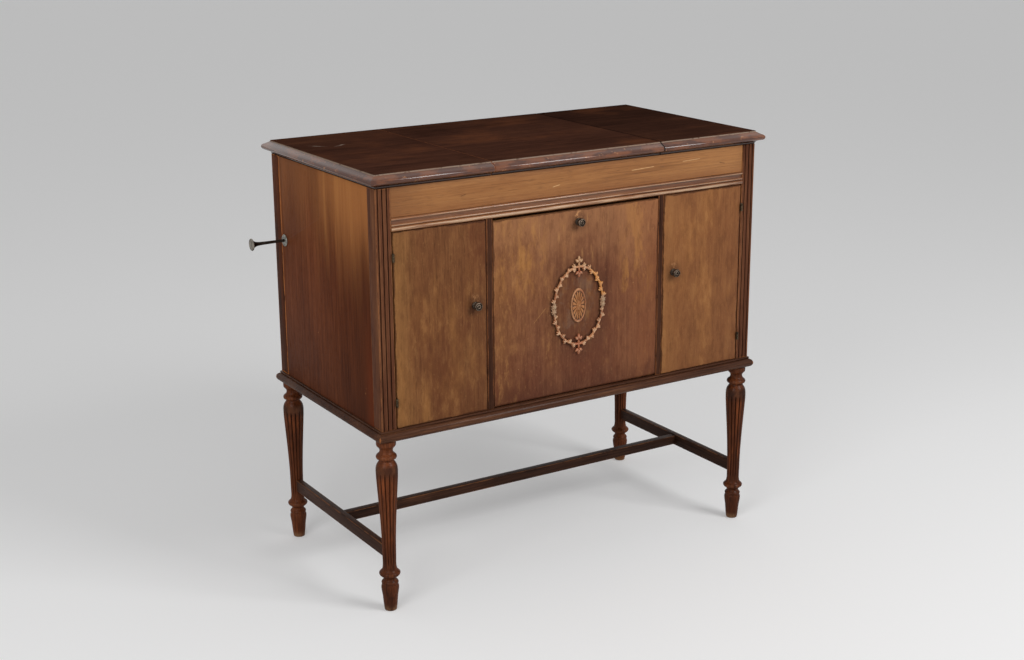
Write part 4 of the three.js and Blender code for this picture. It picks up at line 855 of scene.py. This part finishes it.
low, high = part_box("garland")
middle = (low + high) / 2
face = high.y + 0.0003
stem_thick = 0.0026
bpy.ops.object.select_all(action="DESELECT")
bpy.ops.mesh.primitive_torus_add(
    major_segments=120, minor_segments=10, major_radius=half_high, minor_radius=stem_thick,
    location=(0, 0, 0), rotation=(math.pi / 2, 0, 0),
)
stem = bpy.context.object
stem.scale = (half_wide / half_high, 1, 1)
stem.location = (middle.x, face - stem_thick - 0.0002, middle.z)
settle()
chain = [stem]
husks_each_quarter = 8
for side in (-1, 1):
    for quarter in (-1, 1):
        for k in range(husks_each_quarter):
            # angle from the rosette towards the head or the foot, spaced evenly along the oval
            t = (0.135 + 0.84 * (k + 0.1 * (quarter > 0)) / husks_each_quarter) * math.pi / 2
            t -= 0.055 * math.sin(2 * t)
            px, pz = side * half_wide * math.cos(t), quarter * half_high * math.sin(t)
            dx, dz = -side * half_wide * math.sin(t) * quarter, half_high * math.cos(t)
            root = 0.0062 / math.hypot(dx, dz)
            outward = side * quarter * (-1) ** k
            leaning = math.atan2(dx, dz) + 0.40 * outward + 0.10 * math.sin(2.3 * k + side)
            size = 0.94 + 0.08 * math.sin(3.7 * k + side + 2 * quarter)
            chain.append(placed(
                husk, middle.x + px - dx * root, face - 0.0034, middle.z + pz - dz * root, leaning, size
            ))
    at_side = (middle.x + side * half_wide, face - 0.0030)
    chain.append(placed(rosette, *at_side, middle.z + 0.0045, 0.3 * side, 0.92))
    chain.append(placed(rosette, *at_side, middle.z - 0.0050, 0.7 * side, 0.86))
    for end, leaning, size in ((1, 1.25, 1.0), (-1, 1.75, 0.85)):
        across = middle.x + side * 0.006
        chain.append(placed(husk, across, face - 0.0034, middle.z + end * half_high, side * leaning, size))
for end in (-1, 1):
    up = 0.0 if end > 0 else math.pi
    chain.append(placed(bud, middle.x, face - 0.0034, middle.z + end * half_high, up, 1.18))
    chain.append(placed(bud, middle.x, face - 0.0034, middle.z + end * half_high, up + math.pi, 1.16))
garland = joined("garland_husks", chain)
smooth_under(60)
for pattern in (husk, bud, rosette):
    bpy.data.objects.remove(pattern)
stand_in(garland, "garland")


def composition(name, shift, pale):
    """Moulded composition under worn bronze paint: orange-brown, pale where it is rubbed, with painted shade in
    the hollows and a painted highlight on the raised crests.
    """
    finish = Finish(name, 0.5)
    patches = finish.noise((46, 46, 46), 3.0, 0.6, shift)
    finish.colour = finish.mix(patches.rise(0.40, 0.60), tone(150, 86, 50), tone(182, 122, 80))
    rubbed = finish.noise((150, 150, 150), 4.0, 0.7, shift + 3)
    finish.paint(rubbed.rise(0.50, 0.66) * pale, tone(206, 174, 140))
    # Painted shade in the hollows near the panel, with darker patches at random where the rub noise is low.
    hollow = (finish.y - (face - 0.0034)).rise(0.0, 0.0026) + rubbed.fall(0.30, 0.44) * 0.5
    finish.paint(hollow.least(1.0) * 0.85, tone(62, 34, 24))
    # Painted highlight on the most raised parts.
    crest_highlight = (face - 0.0048 - finish.y).rise(0.0, 0.0016)
    finish.paint(crest_highlight * pale * 0.8, tone(236, 204, 166))
    finish.height = finish.noise((700, 700, 700), 3.0, 0.6, shift) + rubbed
    finish.shader.inputs["Specular IOR Level"].default_value = 0.3
    return finish


finish = composition("garland_composition", 3.0, 0.6)
across, along = (finish.x - middle.x) / half_wide, (finish.z - middle.z) / half_high
golden = across.rise(0.30, 0.62) * along.rise(0.10, 0.25)
finish.paint(golden * 0.55, tone(222, 152, 72))
finish.paint(along.rise(0.98, 1.06) * 0.55, tone(186, 146, 106))
at_rosette = abs(across).rise(0.86, 0.94) * abs(along).fall(0.14, 0.20)
finish.paint(at_rosette * 0.6, tone(158, 138, 112))
finish.paint(abs(across).fall(0.10, 0.18) * along.fall(0.93, 1.0) * 0.6, tone(164, 88, 58))
coat_with(garland, finish.close(0.0003))


# ---------------------------------------------------------------- patera
# An oval boss in the same composition: a raised rim, a ring of hollow petals and a small flower in the
# middle.

low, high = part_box("patera")
middle = (low + high) / 2
petals, petal_columns = 16, 6
boss = turn("patera_moulded", [
    (1.00, 0.0000), (1.00, 0.0022), (0.975, 0.0031), (0.94, 0.0036), (0.90, 0.0035), (0.865, 0.0028),
    (0.84, 0.0022), (0.78, 0.0029), (0.68, 0.0034), (0.56, 0.0036), (0.44, 0.0037), (0.34, 0.0036),
    (0.30, 0.0030), (0.27, 0.0034), (0.22, 0.0044), (0.14, 0.0050), (0.06, 0.0052),
], petals * petal_columns)
for column, drop in ((0, 0.0019), (1, 0.0007), (5, 0.0007)):
    choose(boss, lambda co: 0.33 < math.hypot(co.x, co.y) < 0.80 and co.z > 0.001 and round(
        math.atan2(co.y, co.x) / (2 * math.pi) * petals * petal_columns) % petal_columns == column)
    bpy.ops.transform.translate(value=(0, 0, -drop))
for column, drop in ((0, 0.0012), (3, 0.0002)):
    choose(boss, lambda co: 0.10 < math.hypot(co.x, co.y) < 0.28 and co.z > 0.001 and round(
        math.atan2(co.y, co.x) / (2 * math.pi) * petals * petal_columns) % (2 * petal_columns) == column)
    bpy.ops.transform.translate(value=(0, 0, -drop))
only(boss)
boss.rotation_euler = (math.pi / 2, 0, 0)
boss.scale = ((high.x - low.x) / 2, (high.z - low.z) / 2, 1)
boss.location = (middle.x, face - 0.0003, middle.z)
settle()
smooth_under(45)
stand_in(boss, "patera")
finish = composition("patera_composition", 9.0, 0.3)
across = (finish.x - middle.x) / ((high.x - low.x) / 2)
along = (finish.z - middle.z) / ((high.z - low.z) / 2)
out = (across ** 2.0 + along ** 2.0) ** 0.5
# Painted shade in the groove inside the rim and in the one round the flower.
finish.paint(out.rise(0.80, 0.84) * out.fall(0.86, 0.90) * 0.7, tone(84, 46, 28))
finish.paint(out.rise(0.28, 0.31) * out.fall(0.33, 0.37) * 0.6, tone(84, 46, 28))
finish.paint(out.fall(0.84, 0.88) * 0.5, tone(160, 106, 54))
# Painted shade in the sunk petals.
sunk_shade = (finish.y - (face - 0.0034)).rise(0.0, 0.0010) * out.fall(0.84, 0.88)
finish.paint(sunk_shade * 0.75, tone(58, 32, 20))
# Painted highlight along the rounded outer rim.
finish.paint(out.rise(0.93, 0.97) * 0.4, tone(210, 160, 116))
coat_with(boss, finish.close(0.0002))


# ---------------------------------------------------------------- record racks, motor board and horn
# Plain boards inside the case: a rack of upright dividers in each side bay, the board that carries the
# motor, and the wooden horn that opens into the centre bay behind the fall front.

for node, along in (("record_rack_left", "y"), ("record_rack_right", "y"), ("motor_board", "x")):
    finish = wood(f"{node}_stain", along, tone(104, 72, 46), tone(140, 102, 68), tone(168, 130, 90), 2.0, 0.6)
    coat_with(eased(node, 0.0005), finish.close())
finish = wood("horn_stain", "x", tone(78, 52, 34), tone(112, 78, 52), tone(140, 102, 70), 5.0, 0.55)
coat_with(eased("horn", 0.0008, 30), finish.close())


# ---------------------------------------------------------------- motor
# A double-spring motor on a black enamelled frame under the board: steel barrel, brass winding wheel, the
# spindle with its wheels, and the brass governor with its weights and disc.

enamel = Finish("frame_enamel", 0.38)
chips = enamel.noise((90, 90, 90), 4.0, 0.7, 3.0).rise(0.66, 0.72)
enamel.colour = enamel.mix(chips, tone(24, 23, 24), tone(96, 88, 80))
enamel.roughness = 0.34 + chips * 0.3
enamel.height = enamel.noise((300, 300, 300), 2.0, 0.5, 1.0)
enamel.close(0.0001)
coat_with(eased("motor_frame", 0.0006, 40), enamel.material)
coat_with(eased("horn_elbow", 0.0, 50), enamel.material)
barrel_steel = metal("barrel_steel", tone(112, 110, 106), tone(176, 174, 168), 0.34, 26.0, 1.0).close(0.0001)
coat_with(eased("spring_barrel", 0.0004, 30), barrel_steel)
wheel_brass = metal("wheel_brass", tone(132, 100, 50), tone(190, 152, 84), 0.32, 34.0, 5.0).close(0.0001)
coat_with(eased("winding_wheel", 0.0003, 30), wheel_brass)
coat_with(eased("governor", 0.0002, 35), wheel_brass)
spindle_steel = metal("spindle_steel", tone(120, 118, 114), tone(186, 184, 178), 0.28, 60.0, 7.0)
spindle_steel = spindle_steel.close(0.00005)
coat_with(eased("spindle", 0.0002, 35), spindle_steel)
coat_with(eased("fall_front_rod", 0.0003, 35), spindle_steel)


# ---------------------------------------------------------------- winding shaft
# A steel rod through the left side, thicker towards a flared end with a flat face. It turns in a round
# plate let into the side. The rod is dark with age, and the face is rubbed to pale metal.

low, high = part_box("winding_shaft")
centre = (low + high) / 2
inner = high.x - low.x
worm_end, worm_start = inner - 0.020, inner - 0.050
worm_turns, worm_radius, thread = 7, 0.0079, 0.0015
shaft_profile = [
    (0.0118, 0.0), (0.0124, 0.0004), (0.0125, 0.0014), (0.0119, 0.0022), (0.0096, 0.0034),
    (0.0070, 0.0058), (0.0053, 0.0090), (0.0042, 0.0130), (0.0036, 0.0180), (0.0033, 0.0260),
    (0.0031, 0.0400), (0.0029, 0.0600), (0.0029, worm_start), (0.0064, worm_start + 0.0010),
]
for k in range(worm_turns * 2):
    at = worm_start + 0.002 + (0.026 * k) / (worm_turns * 2)
    shaft_profile.append((worm_radius if k % 2 else worm_radius - thread, at))
shaft_profile += [(0.0064, worm_end - 0.0005), (0.0029, worm_end), (0.0029, inner)]
shaft = turn("winding_shaft_turned", shaft_profile, 40)
shaft.rotation_euler = (0, math.pi / 2, 0)
shaft.location = (low.x, centre.y, centre.z)
settle()
smooth_under(40)
stand_in(shaft, "winding_shaft")
finish = metal("winding_shaft_steel", tone(44, 38, 33), tone(78, 70, 62), 0.5, 90.0, 3.0)
flare = (finish.x - low.x).fall(0.0015, 0.0060)
finish.paint(flare * finish.cloud.rise(0.30, 0.60) * 0.85, tone(172, 164, 152))
finish.paint((finish.x - low.x).rise(0.09, 0.10) * 0.8, tone(150, 148, 142))
coat_with(shaft, finish.close(0.0001))

plate = metal("escutcheon_nickel", tone(92, 90, 84), tone(164, 162, 154), 0.42, 120.0, 6.0)
plate.paint(plate.noise((200, 200, 200), 3.0, 0.7, 2.0).rise(0.52, 0.66) * 0.5, tone(86, 96, 84))
coat_with(eased("escutcheon", 0.0002, 40), plate.close(0.0001))


# ---------------------------------------------------------------- turntable
# A pressed steel platter with a nickelled rim, and a disc of green felt glued on it.

low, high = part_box("turntable")
centre = (low + high) / 2
platter = turn("turntable_turned", [
    (0.0119, 0.0), (0.0120, 0.0004), (0.0140, 0.0040), (0.0300, 0.0058), (0.1220, 0.0060),
    (0.1230, 0.0055), (0.1230, 0.0021), (0.1236, 0.0020), (0.1262, 0.0020), (0.1269, 0.0028),
    (0.1270, 0.0040), (0.1270, 0.0082), (0.1268, 0.0090), (0.1262, 0.0097), (0.1252, 0.0100),
    (0.0600, 0.0100), (0.0040, 0.0100),
], 120)
platter.location = (centre.x, centre.y, low.z)
settle()
smooth_under(35)
stand_in(platter, "turntable")
platter_nickel = metal("platter_nickel", tone(128, 126, 120), tone(206, 204, 196), 0.22, 14.0, 2.0)
coat_with(platter, platter_nickel.close(0.00005))

low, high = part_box("turntable_felt")
felt = turn("turntable_felt_disc", [
    (0.1246, 0.0), (0.1250, 0.0004), (0.1250, 0.0009), (0.1245, 0.0014), (0.1238, 0.0015), (0.0600, 0.0015),
    (0.0042, 0.0015), (0.0036, 0.0013),
], 120)
felt.location = (centre.x, centre.y, low.z)
settle()
smooth_under(40)
stand_in(felt, "turntable_felt")
finish = Finish("felt_green", 0.95)
nap = finish.noise((900, 900, 900), 4.0, 0.7, 1.0)
from_axis = ((finish.x - centre.x) ** 2.0 + (finish.y - centre.y) ** 2.0) ** 0.5
finish.colour = finish.mix(nap.rise(0.35, 0.65), tone(38, 58, 42), tone(66, 92, 66))
rubbed = from_axis.rise(0.045, 0.05) * from_axis.fall(0.10, 0.115) * finish.noise((30, 30, 30), 3.0, 0.6, 4.0)
finish.paint(rubbed * 0.5, tone(92, 108, 82))
finish.height = nap
coat_with(felt, finish.close(0.0006))


# ---------------------------------------------------------------- levers, tone arm and sound box
# Nickelled brass: the brake lever with its pad beside the platter, the speed lever, and the tapered tube
# that turns in its bracket and carries the sound box and needle.

nickel = metal("fittings_nickel", tone(140, 134, 122), tone(214, 208, 196), 0.24, 30.0, 8.0).close(0.00005)
for node in ("brake_lever", "speed_lever", "tone_arm_bracket", "sound_box"):
    coat_with(eased(node, 0.0004, 35), nickel)
arm = eased("tone_arm", 0.0, 60)
only(arm)
rounding = arm.modifiers.new("rounding", "SUBSURF")
rounding.levels = rounding.render_levels = 1
bpy.ops.object.modifier_apply(modifier=rounding.name)
coat_with(arm, nickel)


# ---------------------------------------------------------------- lid hinge
# A long brass hinge in two leaves: one screwed to the back, the other let into the underside of the lid.

long_brass = metal("lid_hinge_brass", tone(104, 84, 52), tone(140, 116, 72), 0.45, 24.0, 9.0).close(0.0001)
for leaf in ("fixed", "moving"):
    coat_with(eased(f"lid_hinge_{leaf}_leaf", 0.0002, 35), long_brass)


# ---------------------------------------------------------------- floor and light
# A plain pale floor, one large soft light high at the front right and a weaker one on the left.

bpy.ops.object.select_all(action="DESELECT")
bpy.ops.mesh.primitive_plane_add(size=40, location=(0, 0, -0.0005))
floor = bpy.context.object
floor.name = "floor"
floor_paint = Finish("floor_paint", 0.85)
floor_paint.colour = (0.74, 0.74, 0.74, 1.0)
floor_paint.shader.inputs["Specular IOR Level"].default_value = 0.1
seen_ray = 0.0
for ray in ("Is Camera Ray", "Is Glossy Ray", "Is Transmission Ray"):
    seen_ray = floor_paint.add("ShaderNodeLightPath", {}, {}, ray) + seen_ray
glow = floor_paint.mix(seen_ray.least(1.0), (0, 0, 0, 1), (0.2, 0.2, 0.2, 1))
floor_paint.tree.links.new(glow.socket, floor_paint.shader.inputs["Emission Color"])
floor_paint.shader.inputs["Emission Strength"].default_value = 1.0
coat_with(floor, floor_paint.close())


def softbox(name, place, aim, size, power):
    lamp = bpy.data.lights.new(name, "AREA")
    lamp.shape = "SQUARE"
    lamp.size = size
    lamp.energy = power
    holder = bpy.data.objects.new(name, lamp)
    holder.matrix_world = (
        Matrix.Translation(place) @ (Vector(place) - Vector(aim)).to_track_quat("Z", "Y").to_matrix().to_4x4()
    )
    bpy.context.scene.collection.objects.link(holder)


softbox("key_light", (1.5, -2.9, 2.7), (0.0, 0.0, 0.5), 1.5, 68)
softbox("fill_light", (-2.7, -1.7, 2.2), (0.0, 0.0, 0.5), 1.6, 34)

world = bpy.data.worlds.new("studio")
world.use_nodes = True
bpy.context.scene.world = world
sky = world.node_tree.nodes["Background"]
sky.inputs["Color"].default_value = (0.90, 0.90, 0.90, 1.0)
sky.inputs["Strength"].default_value = 0.42
seen = world.node_tree.nodes.new("ShaderNodeBackground")
seen.inputs["Color"].default_value = (0.80, 0.80, 0.80, 1.0)
seen.inputs["Strength"].default_value = 1.0
path = world.node_tree.nodes.new("ShaderNodeLightPath")
either = world.node_tree.nodes.new("ShaderNodeMixShader")
shown = path.outputs["Is Camera Ray"]
for ray in ("Is Glossy Ray", "Is Transmission Ray"):
    adding = world.node_tree.nodes.new("ShaderNodeMath")
    adding.operation = "ADD"
    adding.use_clamp = True
    world.node_tree.links.new(shown, adding.inputs[0])
    world.node_tree.links.new(path.outputs[ray], adding.inputs[1])
    shown = adding.outputs[0]
world.node_tree.links.new(shown, either.inputs["Fac"])
world.node_tree.links.new(sky.outputs["Background"], either.inputs[1])
world.node_tree.links.new(seen.outputs["Background"], either.inputs[2])
world.node_tree.links.new(either.outputs["Shader"], world.node_tree.nodes["World Output"].inputs["Surface"])
bpy.context.scene.view_settings.view_transform = "Standard"
